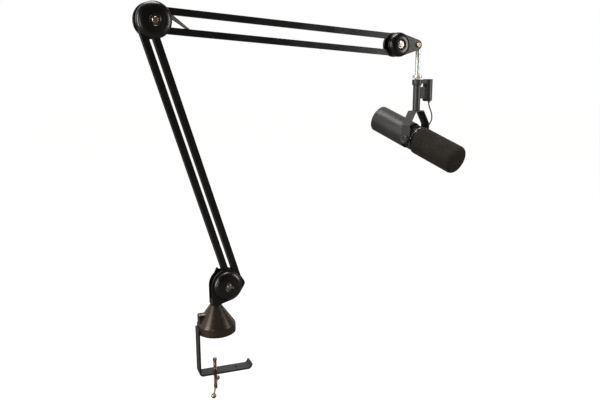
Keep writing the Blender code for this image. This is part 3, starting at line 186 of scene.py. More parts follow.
def build_studio():
    bpy.context.scene.view_settings.view_transform = "Standard"
    warm, warmer, warmest = (1, 0.965, 0.94), (1, 0.965, 0.93), (1, 0.965, 0.92)
    softbox("left_softbox", (-1.90, -0.42, 0.60), (0.0, 0, 0.45), 0.45, 1.7, 40, warmer)
    softbox("key_strip", (-1.45, -1.60, 0.35), (0.0, 0, 0.20), 0.14, 1.0, 7, warmest)
    softbox("right_softbox", (1.80, -1.15, 0.62), (0.40, 0, 0.50), 0.50, 1.1, 17, warmer)
    softbox("top_softbox", (0.10, -0.10, 2.05), (0.2, 0, 0.3), 1.4, 0.6, 34, warm)
    build_world()
    build_floor()


# ======================================================================================
# Shader groups shared by the finishes
# ======================================================================================

def shader_group(name, outputs, vectors=("Vector",), **numbers):
    """An empty group with vector inputs, number inputs with their defaults, and number outputs."""
    group = bpy.data.node_groups.new(name, "ShaderNodeTree")
    for label in vectors:
        group.interface.new_socket(name=label, in_out="INPUT", socket_type="NodeSocketVector")
    for label, value in numbers.items():
        socket = group.interface.new_socket(name=label.replace("_", " "), in_out="INPUT",
                                            socket_type="NodeSocketFloat")
        socket.default_value = value
    for label in outputs:
        group.interface.new_socket(name=label, in_out="OUTPUT", socket_type="NodeSocketFloat")
    return group, group.nodes.new("NodeGroupInput").outputs


def build_grain_group():
    """Even fine texture, as on paint and moulded plastic, and slow cloudy unevenness."""
    tree, given = shader_group("surface_grain", ("Height", "Clouds"), Grain_Scale=2600.0, Cloud_Scale=22.0)
    fine = noise_at(tree, given["Vector"], given["Grain Scale"], 2.0, 0.6)
    cloud = noise_at(tree, given["Vector"], given["Cloud Scale"], 4.0, 0.55)
    new_node(tree, "NodeGroupOutput", Height=remap(tree, fine, 0.3, 0.7),
             Clouds=remap(tree, cloud, 0.35, 0.68))
    return tree


def build_wear_group():
    """Where edges are rubbed: convex edges, broken up by noise."""
    tree, given = shader_group("edge_wear", ("Mask",), Width=0.0006, Break_Up_Scale=160.0)
    bevel = new_node(tree, "ShaderNodeBevel", {"samples": 4}, Radius=given["Width"])
    dot = new_node(tree, "ShaderNodeVectorMath", {"operation": "DOT_PRODUCT"})
    feed(tree, dot.inputs[0], bevel.outputs["Normal"])
    feed(tree, dot.inputs[1], new_node(tree, "ShaderNodeNewGeometry").outputs["Normal"])
    edge = remap(tree, dot.outputs["Value"], 0.995, 0.90)
    broken = remap(tree, noise_at(tree, given["Vector"], given["Break Up Scale"], 4.0, 0.6), 0.45, 0.62)
    new_node(tree, "NodeGroupOutput", Mask=math_node(tree, "MULTIPLY", edge, broken))
    return tree


def build_dust_group():
    """A thin film of dust that settles on faces turned upwards."""
    tree, given = shader_group("settled_dust", ("Mask",), ("Vector", "Normal"), Speck_Scale=420.0)
    upward = new_node(tree, "ShaderNodeSeparateXYZ", Vector=given["Normal"]).outputs["Z"]
    speck = remap(tree, noise_at(tree, given["Vector"], given["Speck Scale"], 3.0, 0.7), 0.48, 0.72)
    new_node(tree, "NodeGroupOutput",
             Mask=math_node(tree, "MULTIPLY", remap(tree, upward, 0.35, 1.0), speck))
    return tree


def build_turning_group():
    """Fine lines left by a lathe tool round the Z axis."""
    tree, given = shader_group("lathe_lines", ("Height", "Mask"), Line_Scale=1500.0)
    split = new_node(tree, "ShaderNodeSeparateXYZ", Vector=given["Vector"]).outputs
    squares = math_node(tree, "ADD", math_node(tree, "MULTIPLY", split["X"], split["X"]),
                        math_node(tree, "MULTIPLY", split["Y"], split["Y"]))
    section = new_node(tree, "ShaderNodeCombineXYZ", X=math_node(tree, "SQRT", squares), Z=split["Z"])
    fine = noise_at(tree, section.outputs["Vector"], given["Line Scale"], 3.0, 0.6)
    new_node(tree, "NodeGroupOutput", Height=fine, Mask=remap(tree, fine, 0.35, 0.7))
    return tree


def build_scratch_group():
    """Short straight rubs, as on plated steel that is handled."""
    tree, given = shader_group("handling_scratches", ("Height", "Mask"), Scale=260.0)
    stretched = new_node(tree, "ShaderNodeMapping", Vector=given["Vector"], Scale=(1, 9, 0.6),
                         Rotation=(0.5, 0.3, 0.7))
    rub = noise_at(tree, stretched.outputs["Vector"], given["Scale"], 5.0, 0.7)
    new_node(tree, "NodeGroupOutput", Height=rub, Mask=remap(tree, rub, 0.42, 0.66))
    return tree


def build_pore_group():
    """Open cells of foam: holes painted dark as the shade inside them, paler struts between them, and a slow
    mottling.
    """
    tree, given = shader_group("foam_cells", ("Height", "Struts", "Mottle"), Cell_Scale=620.0,
                               Mottle_Scale=55.0)
    cells = new_node(tree, "ShaderNodeTexVoronoi", {"feature": "DISTANCE_TO_EDGE"},
                     Vector=given["Vector"], Scale=given["Cell Scale"])
    rough = remap(tree, noise_at(tree, given["Vector"], 1900.0, 2.0, 0.5), 0.2, 0.8, 0.55, 1.0)
    # Away from the struts the cells stay dark: this is painted shade inside the pores.
    struts = math_node(tree, "MULTIPLY", remap(tree, cells.outputs["Distance"], 0.22, 0.02), rough)
    mottle = noise_at(tree, given["Vector"], given["Mottle Scale"], 4.0, 0.6)
    new_node(tree, "NodeGroupOutput", Height=struts, Struts=struts, Mottle=remap(tree, mottle, 0.35, 0.68))
    return tree


GROUPS = {
    "grain": build_grain_group(),
    "wear": build_wear_group(),
    "dust": build_dust_group(),
    "turning": build_turning_group(),
    "scratches": build_scratch_group(),
    "pores_and_pore_shade": build_pore_group(),
}


# ======================================================================================
# Finishes
# ======================================================================================

FINISHES = {}


class Finish:
    """A Principled material with a few shared effects laid over its base colour, kept by its name."""

    def __init__(self, name, colour, roughness, metallic=0.0, **sockets):
        FINISHES[name] = bpy.data.materials.new(name)
        FINISHES[name].use_nodes = True
        self.tree = FINISHES[name].node_tree
        self.shader = self.tree.nodes["Principled BSDF"]
        self.place = new_node(self.tree, "ShaderNodeTexCoord").outputs
        self.colour = (*colour, 1)
        self.roughness = roughness
        self.normal = None
        sockets.update(Base_Color=self.colour, Roughness=roughness, Metallic=metallic)
        for label, value in sockets.items():
            feed(self.tree, self.shader.inputs[label.replace("_", " ")], value)

    def group(self, key, **values):
        return new_node(self.tree, "ShaderNodeGroup", {"node_tree": GROUPS[key]},
                        Vector=self.place["Object"], **values).outputs

    def tint(self, mask, colour, most=1.0):
        """Shifts the base colour towards another one where the mask is high."""
        mix = new_node(self.tree, "ShaderNodeMix", {"data_type": "RGBA"}, A=self.colour, B=(*colour, 1),
                       Factor=math_node(self.tree, "MULTIPLY", mask, most))
        self.colour = mix.outputs["Result"]
        feed(self.tree, self.shader.inputs["Base Color"], self.colour)

    def vary_roughness(self, mask, change):
        """Adds to the roughness where the mask is high."""
        step = math_node(self.tree, "MULTIPLY", mask, change)
        self.roughness = math_node(self.tree, "ADD", step, self.roughness)
        feed(self.tree, self.shader.inputs["Roughness"], self.roughness)

    def raise_surface(self, height, depth, strength=1.0):
        bump = new_node(self.tree, "ShaderNodeBump", Distance=depth, Strength=strength, Height=height)
        if self.normal is not None:
            feed(self.tree, bump.inputs["Normal"], self.normal)
        self.normal = bump.outputs["Normal"]
        feed(self.tree, self.shader.inputs["Normal"], self.normal)

    def settle_dust(self, colour, most):
        mask = self.group("dust", Normal=self.place["Normal"])["Mask"]
        self.tint(mask, colour, most)
        self.vary_roughness(mask, 0.2)

    def rub_edges(self, colour, most):
        self.tint(self.group("wear")["Mask"], colour, most)


def painted(name, colour, roughness, grain_scale, grain_depth, wear_colour, wear, dust, **sockets):
    finish = Finish(name, colour, roughness, **sockets)
    grain = finish.group("grain", Grain_Scale=grain_scale, Cloud_Scale=24.0)
    paler = tuple(channel * 1.45 + 0.001 for channel in colour)
    finish.tint(grain["Clouds"], paler, 0.4)
    finish.vary_roughness(grain["Clouds"], 0.08)
    finish.raise_surface(grain["Height"], grain_depth)
    finish.rub_edges(wear_colour, wear)
    finish.settle_dust((0.11, 0.10, 0.09), dust)


def plated(name, colour, roughness, tarnish):
    finish = Finish(name, colour, roughness, metallic=1.0)
    rubs = finish.group("scratches")
    finish.vary_roughness(rubs["Mask"], 0.12)
    finish.raise_surface(rubs["Height"], 0.000004)
    clouds = finish.group("grain", Grain_Scale=900.0, Cloud_Scale=90.0)["Clouds"]
    finish.tint(clouds, tarnish, 0.22)


def pale_chrome():
    chrome = Finish("pale_chrome", (0.56, 0.63, 0.58), 0.30, metallic=0.55)
    rubs = chrome.group("scratches")["Mask"]
    chrome.vary_roughness(rubs, 0.10)
    chrome.tint(rubs, (0.40, 0.44, 0.40), 0.3)


def bronze_grey():
    cast = Finish("bronze_grey", (0.086, 0.072, 0.056), 0.27, metallic=0.95)
    lines = cast.group("turning", Line_Scale=700.0)
    grain = cast.group("grain", Grain_Scale=1300.0, Cloud_Scale=26.0)
    cast.tint(grain["Clouds"], (0.082, 0.069, 0.054), 0.5)
    cast.vary_roughness(lines["Mask"], 0.07)
    cast.raise_surface(lines["Height"], 0.0000012)
    cast.raise_surface(grain["Height"], 0.000004)
    cast.rub_edges((0.38, 0.33, 0.27), 0.4)
    cast.settle_dust((0.12, 0.11, 0.09), 0.04)


def grille_steel():
    mesh = Finish("grille_steel", (0.36, 0.35, 0.34), 0.36, metallic=1.0)
    weave = new_node(mesh.tree, "ShaderNodeTexBrick", Vector=mesh.place["Object"], Scale=900,
                     Mortar_Size=0.03)
    mesh.raise_surface(weave.outputs["Fac"], 0.0001)


def dark_foam():
    # The near-black base colour is painted shade in the open pores, not the foam's own colour.
    foam = Finish("dark_foam", (0.0020, 0.0017, 0.0014), 0.95, Sheen_Weight=0.08, Sheen_Roughness=0.45,
                  Sheen_Tint=(0.62, 0.55, 0.48, 1), Specular_IOR_Level=0.15)
    pores_and_pore_shade = foam.group("pores_and_pore_shade")
    # The struts lift the colour from the painted pore shade to the foam's own paler tone.
    foam.tint(pores_and_pore_shade["Struts"], (0.052, 0.045, 0.038), 1.0)
    foam.tint(pores_and_pore_shade["Mottle"], (0.0090, 0.0074, 0.0062), 0.4)
    foam.raise_surface(pores_and_pore_shade["Height"], 0.0004, 0.85)


def build_finishes():
    painted("black_paint", (0.0052, 0.0045, 0.0037), 0.27, 1700.0, 0.000010, (0.09, 0.08, 0.07), 0.18,
            0.018, Specular_IOR_Level=0.38)
    painted("clamp_paint", (0.0075, 0.0065, 0.0055), 0.40, 1500.0, 0.000014, (0.10, 0.09, 0.08), 0.35, 0.03)
    painted("black_cover", (0.0030, 0.0025, 0.0019), 0.26, 700.0, 0.0000015, (0.05, 0.045, 0.04), 0.06,
            0.006, Specular_IOR_Level=0.40, Coat_Weight=0.25, Coat_Roughness=0.20)
    painted("graphite_paint", (0.0250, 0.0236, 0.0222), 0.38, 2100.0, 0.000018, (0.16, 0.155, 0.15), 0.25,
            0.035)
    painted("black_plastic", (0.0060, 0.0055, 0.0050), 0.42, 1500.0, 0.000020, (0.04, 0.04, 0.04), 0.20, 0.03)
    painted("black_rubber", (0.0075, 0.0068, 0.0062), 0.60, 1100.0, 0.000030, (0.03, 0.03, 0.03), 0.15, 0.05)
    plated("bright_steel", (0.60, 0.53, 0.43), 0.26, (0.36, 0.29, 0.20))
    plated("warm_nickel", (0.40, 0.31, 0.21), 0.26, (0.14, 0.095, 0.06))
    plated("spring_steel", (0.40, 0.37, 0.32), 0.42, (0.20, 0.18, 0.14))
    plated("silver_wire", (0.72, 0.72, 0.74), 0.18, (0.30, 0.29, 0.28))
    plated("contact_gold", (0.83, 0.62, 0.27), 0.2, (0.5, 0.35, 0.15))
    pale_chrome()
    bronze_grey()
    grille_steel()
    dark_foam()


build_finishes()


# ======================================================================================
# Making and handing over pieces
# ======================================================================================

def add_piece(name, data):
    piece = bpy.data.objects.new(name, data)
    bpy.context.scene.collection.objects.link(piece)
    return piece


def smooth_by_angle(mesh, angle=radians(38)):
    mesh.shade_smooth()
    mesh.set_sharp_from_angle(angle=angle)


def hand_over(piece, body, finish, *nodes):
    """Gives a finished piece its material and body, and hides the CAD nodes it stands for."""
    if piece.type == "MESH":
        piece.data.materials.clear()
    piece.data.materials.append(FINISHES[finish])
    if nodes:
        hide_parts(*nodes)
    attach(piece, body)
    return piece


def even_normals(piece):
    weights = piece.modifiers.new("Even normals", "WEIGHTED_NORMAL")
    weights.keep_sharp = True
    return piece


def frame_at(origin, x_axis, y_axis, z_axis):
    return Matrix.Translation(origin) @ Matrix((x_axis, y_axis, z_axis)).transposed().to_4x4()


def side_frame(centre, side):
    """Local Z points out of a joint housing: side -1 is the front, +1 the rear."""
    outward, x_axis = Vector((0, side, 0)), Vector((1, 0, 0))
    return frame_at(centre, x_axis, outward.cross(x_axis), outward)


def lathe_frame(origin, direction):
    z_axis = direction.normalized()
    helper = Vector((0, 1, 0)) if abs(z_axis.y) < 0.9 else Vector((1, 0, 0))
    x_axis = helper.cross(z_axis).normalized()
    return frame_at(origin, x_axis, z_axis.cross(x_axis), z_axis)


def rounded(points, steps=5):
    """Turns corners given as (r, z, corner radius) into arcs.  A plain (r, z) stays sharp."""
    path = []
    for index, point in enumerate(points):
        here = Vector(point[:2])
        if len(point) < 3 or index in (0, len(points) - 1):
            path.append(tuple(here))
            continue
        before, after = Vector(points[index - 1][:2]) - here, Vector(points[index + 1][:2]) - here
        half = before.angle(after) / 2
        back = min(point[2] / tan(half), before.length * 0.49, after.length * 0.49)
        start, end = here + before.normalized() * back, here + after.normalized() * back
        for step in range(steps + 1):
            t = step / steps
            path.append(tuple(start * (1 - t) ** 2 + here * 2 * t * (1 - t) + end * t ** 2))
    return path


def lathed(name, outline, place, segments=96, closed=False):
    """Revolves (radius, height) points, from the top down the outer side, about local Z."""
    work = bmesh.new()
    rings = []
    for radius, height in outline:
        if radius < 1e-7:
            rings.append([work.verts.new(place @ Vector((0, 0, height)))])
            continue
        around = [2 * pi * i / segments for i in range(segments)]
        rings.append([work.verts.new(place @ Vector((radius * cos(angle), radius * sin(angle), height)))
                      for angle in around])
    pairs = list(zip(rings, rings[1:]))
    if closed:
        pairs.append((rings[-1], rings[0]))
    for upper, lower in pairs:
        for i in range(segments):
            j = (i + 1) % segments
            corners = [ring[k % len(ring)] for ring, k in ((upper, i), (lower, i), (lower, j), (upper, j))]
            unique = list(dict.fromkeys(corners))
            if len(unique) > 2:
                work.faces.new(unique)
    bmesh.ops.recalc_face_normals(work, faces=work.faces)
    mesh = bpy.data.meshes.new(name)
    work.to_mesh(mesh)
    work.free()
    return add_piece(name, mesh)


def turned(name, outline, place, segments=96, closed=False):
    """A turned piece with its smooth faces shaded smooth."""
    piece = lathed(name, outline, place, segments, closed)
    smooth_by_angle(piece.data)
    return even_normals(piece)


def prism(name, sides, radius, low, high, place):
    """A many-sided bar, such as a hexagon, for sockets and nuts."""
    return lathed(name, [(0, high), (radius, high), (radius, low), (0, low)], place, sides)


def settle(piece, name=None):
    """Applies a piece's modifiers and keeps the result as a plain mesh at the origin."""
    bpy.context.view_layer.update()
    depsgraph = bpy.context.evaluated_depsgraph_get()
    mesh = bpy.data.meshes.new_from_object(piece.evaluated_get(depsgraph))
    mesh.transform(piece.matrix_world)
    label = name or piece.name
    bpy.data.objects.remove(piece, do_unlink=True)
    mesh.name = label
    return add_piece(label, mesh)


def carve(piece, operation, *tools):
    """Cuts tools from a piece, or joins them to it, and removes the tools."""
    for tool in tools:
        change = piece.modifiers.new(tool.name, "BOOLEAN")
        change.operation = operation
        change.solver = "EXACT"
        change.object = tool
    for modifier in list(piece.modifiers):
        if modifier.type == "WEIGHTED_NORMAL":
            piece.modifiers.remove(modifier)
    result = settle(piece)
    for tool in tools:
        bpy.data.objects.remove(tool, do_unlink=True)
    return result


def cleaned_copy(node, name):
    """A copy of a CAD node with its doubles merged and its flat faces made whole."""
    mesh = frame["nodes"][node].data.copy()
    mesh.name = name
    work = bmesh.new()
    work.from_mesh(mesh)
    bmesh.ops.remove_doubles(work, verts=work.verts, dist=0.00001)
    bmesh.ops.dissolve_limit(work, angle_limit=radians(0.6), verts=work.verts, edges=work.edges)
    work.to_mesh(mesh)
    work.free()
    mesh.materials.clear()
    return add_piece(name, mesh)


def soften(piece, width, segments=3, angle=radians(32)):
    """Rounds the sharp edges of a piece, as a cast, moulded or painted edge is."""
    bevel = piece.modifiers.new("Soft edges", "BEVEL")
    bevel.width = width
    bevel.segments = segments
    bevel.limit_method = "ANGLE"
    bevel.angle_limit = angle
    bevel.miter_outer = "MITER_ARC"
    bevel.use_clamp_overlap = True
    smooth_by_angle(piece.data, radians(50))
    settled = settle(piece)
    smooth_by_angle(settled.data, radians(50))
    return even_normals(settled)


def softened(node, body, finish, width, segments=3, angle=radians(32)):
    piece = soften(cleaned_copy(node, node + "_shaped"), width, segments, angle)
    return hand_over(piece, body, finish, node)


# ======================================================================================
# Geometry Nodes for what repeats
# ======================================================================================

def geometry_group(name, **inputs):
    """An empty tree.  An input's kind comes from its word, or from the number that is its default."""
    tree = bpy.data.node_groups.new(name, "GeometryNodeTree")
    for label, value in {**inputs, "Material": "Material"}.items():
        kind = value if isinstance(value, str) else type(value).__name__.capitalize()
        socket = tree.interface.new_socket(name=label.replace("_", " "), in_out="INPUT",
                                           socket_type="NodeSocket" + kind)
        if not isinstance(value, str):
            socket.default_value = value
    tree.interface.new_socket(name="Geometry", in_out="OUTPUT", socket_type="NodeSocketGeometry")
    return tree, tree.nodes.new("NodeGroupInput").outputs


def close_tree(tree, given, geometry):
    """Ends a tree with real geometry in the given material."""
    real = new_node(tree, "GeometryNodeRealizeInstances", Geometry=geometry)
    dressed = new_node(tree, "GeometryNodeSetMaterial", Geometry=real.outputs["Geometry"],
                       Material=given["Material"])
    new_node(tree, "NodeGroupOutput", Geometry=dressed.outputs["Geometry"])
    return tree


def build_ring_tree():
    """Copies of one item, evenly round local Z, each turned to face outwards."""
    tree, given = geometry_group("ring_of_copies", Item="Object", Count=12, Radius=0.01)
    circle = new_node(tree, "GeometryNodeMeshCircle", Vertices=given["Count"], Radius=given["Radius"])
    index = new_node(tree, "GeometryNodeInputIndex").outputs["Index"]
    share = math_node(tree, "DIVIDE", index, given["Count"])
    euler = new_node(tree, "ShaderNodeCombineXYZ", Z=math_node(tree, "MULTIPLY", share, 2 * pi))
    item = new_node(tree, "GeometryNodeObjectInfo", Object=given["Item"])
    place = new_node(tree, "GeometryNodeInstanceOnPoints", Points=circle.outputs["Mesh"],
                     Instance=item.outputs["Geometry"], Rotation=euler.outputs["Vector"])
    return close_tree(tree, given, place.outputs["Instances"])


def build_coil_tree():
    """A wire wound round local Z, for springs and screw threads."""
    tree, given = geometry_group("wound_wire", Radius=0.004, Turns=10.0, Length=0.02, Wire_Radius=0.0004,
                                 Steps_Per_Turn=16, Wire_Sides=6)
    spiral = new_node(tree, "GeometryNodeCurveSpiral", Resolution=given["Steps Per Turn"],
                      Rotations=given["Turns"], Start_Radius=given["Radius"],
                      End_Radius=given["Radius"], Height=given["Length"])
    wire = new_node(tree, "GeometryNodeCurvePrimitiveCircle", Resolution=given["Wire Sides"],
                    Radius=given["Wire Radius"])
    sweep = new_node(tree, "GeometryNodeCurveToMesh", Curve=spiral.outputs["Curve"],
                     Profile_Curve=wire.outputs["Curve"], Fill_Caps=True)
    return close_tree(tree, given, sweep.outputs["Mesh"])


def build_uneven_tree():
    """Pushes a surface in and out along its normals by seeded noise."""
    tree, given = geometry_group("uneven_surface", Surface="Geometry", Scale=40.0, Depth=0.0003, Seed=3.0)
    noise = new_node(tree, "ShaderNodeTexNoise", {"noise_dimensions": "4D"}, Scale=given["Scale"],
                     W=given["Seed"])
    centred = math_node(tree, "SUBTRACT", noise.outputs["Fac"], 0.5)
    push = new_node(tree, "ShaderNodeVectorMath", {"operation": "SCALE"},
                    Scale=math_node(tree, "MULTIPLY", centred, given["Depth"]))
    feed(tree, push.inputs[0], new_node(tree, "GeometryNodeInputNormal").outputs["Normal"])
    move = new_node(tree, "GeometryNodeSetPosition", Geometry=given["Surface"],
                    Offset=push.outputs["Vector"])
    return close_tree(tree, given, move.outputs["Geometry"])


TREES = {"ring": build_ring_tree(), "coil": build_coil_tree(), "uneven": build_uneven_tree()}


def grow(name, tree_key, place, finish, host=None, **values):
    """Runs one of the trees with its inputs set, and keeps the mesh in its place."""
    tree = TREES[tree_key]
    host = host or add_piece(name, bpy.data.meshes.new(name))
    modifier = host.modifiers.new("Grown", "NODES")
    modifier.node_group = tree
    values["Material"] = FINISHES[finish]
    for socket in tree.interface.items_tree:
        key = socket.name.replace(" ", "_")
        if socket.in_out == "INPUT" and key in values:
            modifier[socket.identifier] = values[key]
    host.matrix_world = place
    grown = settle(host, name)
    work = bmesh.new()
    work.from_mesh(grown.data)
    bmesh.ops.remove_doubles(work, verts=work.verts, dist=0.000002)
    bmesh.ops.recalc_face_normals(work, faces=work.faces)
    work.to_mesh(grown.data)
    work.free()
    smooth_by_angle(grown.data)
    return grown


def ring_of(name, item, count, radius, place, body, finish):
    """Copies of an item round an axis, as one piece.  The item itself is removed."""
    copies = grow(name, "ring", place, finish, Item=item, Count=count, Radius=radius)
    bpy.data.objects.remove(item, do_unlink=True)
    return hand_over(copies, body, finish)


# ======================================================================================
# Base and clamp
# ======================================================================================

def socket_screw(name, body, node, outline, place, socket_radius, socket_floor, finish="bright_steel"):
    """A turned screw with a hexagon socket in its head."""
    screw = turned(name, rounded(outline, 4), place, 48)
    top = max(point[1] for point in outline)
    cutter = prism(name + "_hex", 6, socket_radius, socket_floor, top + 0.002, place)
    cut = carve(screw, "DIFFERENCE", cutter)
    smooth_by_angle(cut.data)
    return hand_over(even_normals(cut), body, finish, node)


def build_base():
    softened("base_cone", "base", "bronze_grey", 0.0005, 3, radians(28))
    pad_high, groove = 0.002, 0.0006
    pad_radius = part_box("base_pad")[1][0]
    outline = [(0, pad_high), (pad_radius, pad_high, 0.0003), (pad_radius, 0, 0.0004)]
    for share in (0.92, 0.72, 0.52, 0.32):
        outer = pad_radius * share
        outline += [(outer, 0), (outer - 0.0004, groove), (outer - 0.0014, groove), (outer - 0.0018, 0)]
    outline += [(0, 0)]
    pad = turned("base_pad_ribbed", rounded(outline, 3), Matrix.Identity(4), 96)
    hand_over(pad, "base", "black_rubber", "base_pad")
    for node, finish, width, segments, angle in (
            ("clamp_bracket", "clamp_paint", 0.0005, 3, 25), ("clamp_bolt", "black_paint", 0.0003, 2, 35),
            ("swivel_lock_screw", "bright_steel", 0.0003, 2, 35)):
        softened(node, "base", finish, width, segments, radians(angle))


def build_clamp_screw():
    place = Matrix.Translation(joint_point("clamp_screw_turn"))
    foot = turned("clamp_foot_turned", rounded([
        (0, 0), (0.0044, 0, 0.0006), (0.0044, -0.005, 0.0004), (0.0031, -0.005), (0.0031, -0.0015),
        (0, -0.0015)]), place, 64)
    hand_over(foot, "clamp_foot", "warm_nickel", "clamp_pad")

    root, crest, end = 0.00325, 0.0037, -0.069
    nose_top, nose_radius, nose_end, thread_end = -0.0018, 0.0028, -0.0053, -0.0570
    core = turned("clamp_screw_core", rounded([
        (0, nose_top), (nose_radius, nose_top, 0.0003), (nose_radius, nose_end), (root, nose_end, 0.0003),
        (root, thread_end, 0.0003), (crest, thread_end - 0.0005, 0.0003), (crest, end, 0.0010), (0, end)]),
        place, 64)
    bar_place = lathe_frame(middle("tommy_bar"), Vector(JOINTS["tommy_slide"]["axis"]))
    core = carve(core, "DIFFERENCE", prism("cross_hole", 32, 0.0019, -0.01, 0.01, bar_place))
    smooth_by_angle(core.data)
    hand_over(even_normals(core), "clamp_spindle", "warm_nickel", "clamp_screw")
    pitch, run, thread_start = 0.0015, 0.0510, -0.0568
    thread = grow("clamp_screw_thread", "coil", place @ Matrix.Translation((0, 0, thread_start)),
                  "warm_nickel", Radius=root - 0.00005, Turns=run / pitch, Length=run,
                  Wire_Radius=0.0005, Steps_Per_Turn=28, Wire_Sides=6)
    hand_over(thread, "clamp_spindle", "warm_nickel")

    ball, bar, half = 0.0054, 0.0016, 0.041
    neck = half - (ball ** 2 - bar ** 2) ** 0.5
    outline = []
    for step in range(13):
        angle = pi / 2 - step / 12 * pi * 0.9
        outline.append((ball * cos(angle), half + ball * sin(angle)))
    outline = [point for point in outline if point[1] > neck] + [(bar, neck)]
    mirrored = [(radius, -height) for radius, height in outline[::-1]]
    tommy = turned("tommy_bar_turned", outline + mirrored, bar_place, 48)
    hand_over(tommy, "tommy", "warm_nickel", "tommy_bar")


# ======================================================================================
# Joint housings
# ======================================================================================

def cover_outline(radius, recess, crown_start):
    """The domed cap's section: thin rim, one long rolled shoulder, a shallow crown and a dish."""
    top, floor, wall, rim = COVER_HEIGHT, COVER_HEIGHT - DISH_DEPTH, 0.0016, 0.0012
    shoulder_top, fullness, steps = top - 0.0007, 0.92, 18
    shoulder = []
    for index in range(steps + 1):
        angle = index / steps * pi / 2
        across = radius - (radius - crown_start) * (1 - cos(angle))
        shoulder.append((across, rim + (shoulder_top - rim) * sin(angle) ** fullness))
    outer = [(COVER_BORE, floor), (recess - 0.0022, floor, 0.0012), (recess, top - 0.0010, 0.0012),
             (recess + 0.0016, top, 0.0010), (crown_start * 0.92, top - 0.0004, 0.003)]
    outer += shoulder[::-1]
    outer += [(radius, 0.0003), (radius - 0.0003, 0), (radius - wall, 0), (radius - wall, rim, 0.001),
              (crown_start, top - wall - 0.0018, 0.002), (recess + wall, top - wall - 0.0008, 0.001),
              (recess + wall - 0.0006, floor - wall), (COVER_BORE, floor - wall)]
    return rounded(outer, 4)


def build_cover(prefix, body, radius, recess, crown_start):
    centre = middle(f"{prefix}_cover_front")
    centre.y = 0
    outline = cover_outline(radius, recess, crown_start)
    for label, side in (("front", -1), ("rear", 1)):
        place = side_frame(centre + Vector((0, side * COVER_BASE_Y, 0)), side)
        cover = turned(f"{prefix}_cover_{label}_domed", outline, place, 128, closed=True)
        hand_over(cover, body, "black_cover", f"{prefix}_cover_{label}")

    floor = COVER_HEIGHT - DISH_DEPTH + GAP
    head = recess - 0.0034
    front = side_frame(centre + Vector((0, -COVER_BASE_Y, 0)), -1)
    end = -GAP - 0.0024
    socket_screw(f"{prefix}_screw_turned", body, f"{prefix}_screw", [
        (0, floor + 0.0032), (head - 0.0016, floor + 0.0032, 0.0006), (head, floor + 0.0018, 0.0010),
        (head, floor, 0.0002), (0.0025, floor), (0.0025, end, 0.0003), (0, end)],
        front, 0.0019, floor + 0.0008)
    washer = turned(f"{prefix}_washer", rounded([
        (head + 0.0003, floor + 0.0009, 0.0003), (recess - 0.0016, floor + 0.0009, 0.0006),
        (recess - 0.0016, floor, 0.0001), (head + 0.0003, floor)], 3), front, 64, closed=True)
    hand_over(washer, body, "bright_steel")
    rear = side_frame(centre + Vector((0, COVER_BASE_Y, 0)), 1)
    nut = prism(f"{prefix}_rear_nut", 6, recess - 0.0022, floor, floor + 0.0030, rear)
    hand_over(soften(nut, 0.0004, 2), body, "bright_steel")


def build_housings():
    for prefix, body, radius, recess, crown in (
            ("shoulder", "shoulder", 0.0314, 0.0085, 0.0160), ("elbow", "elbow", 0.0342, 0.0098, 0.0180),
            ("end", "end", 0.0268, 0.0098, 0.0130)):
        build_cover(prefix, body, radius, recess, crown)
        for label in ("front", "rear"):
            softened(f"{prefix}_plate_{label}", body, "black_paint", 0.0005, 2, radians(40))
    softened("shoulder_post", "shoulder", "black_paint", 0.0005, 2, radians(40))
    softened("tip_bolt", "end", "warm_nickel", 0.0005, 3, radians(35))
    for prefix, letters in (("shoulder", "ab"), ("elbow", "abcd"), ("end", "ab")):
        for letter in letters:
            softened(f"{prefix}_pin_{letter}", prefix, "black_paint", 0.0003, 2, radians(40))


# ======================================================================================
# Rails and springs
# ======================================================================================

def build_rails():
    for node, body in (("lower_rail_rear", "lower_rear"), ("lower_rail_front", "lower_front"),
                       ("upper_rail_bottom", "upper_bottom"), ("upper_rail_top", "upper_top")):
        softened(node, body, "black_paint", 0.0009, 3, radians(50))
    softened("draw_bar", "upper_top", "spring_steel", 0.0004, 2, radians(40))
    lower = joint_point("elbow_level") - joint_point("lower_arm_lift")
    upper = joint_point("end_level") - joint_point("upper_arm_lift")
    radius, pitch, from_pivot, wire = 0.0042, 0.0019, 0.110, 0.0006
    for node, body, joint, run, length in (
            ("lower_spring_rear", "lower_rear", "lower_arm_lift", lower, 0.300),
            ("lower_spring_front", "lower_front", "lower_arm_follow", lower, 0.300),
            ("upper_spring", "upper_bottom", "upper_arm_lift", upper, 0.260)):
        direction = run.normalized()
        place = lathe_frame(joint_point(joint) + direction * (from_pivot + wire), direction)
        coil = grow(node + "_wound", "coil", place, "spring_steel", Radius=radius - wire,
                    Turns=length / pitch, Length=length - 2 * wire, Wire_Radius=wire, Steps_Per_Turn=14,
                    Wire_Sides=6)
        hand_over(coil, body, "spring_steel", node)


# ======================================================================================
# Drop rod, mount, yoke and lead
# ======================================================================================

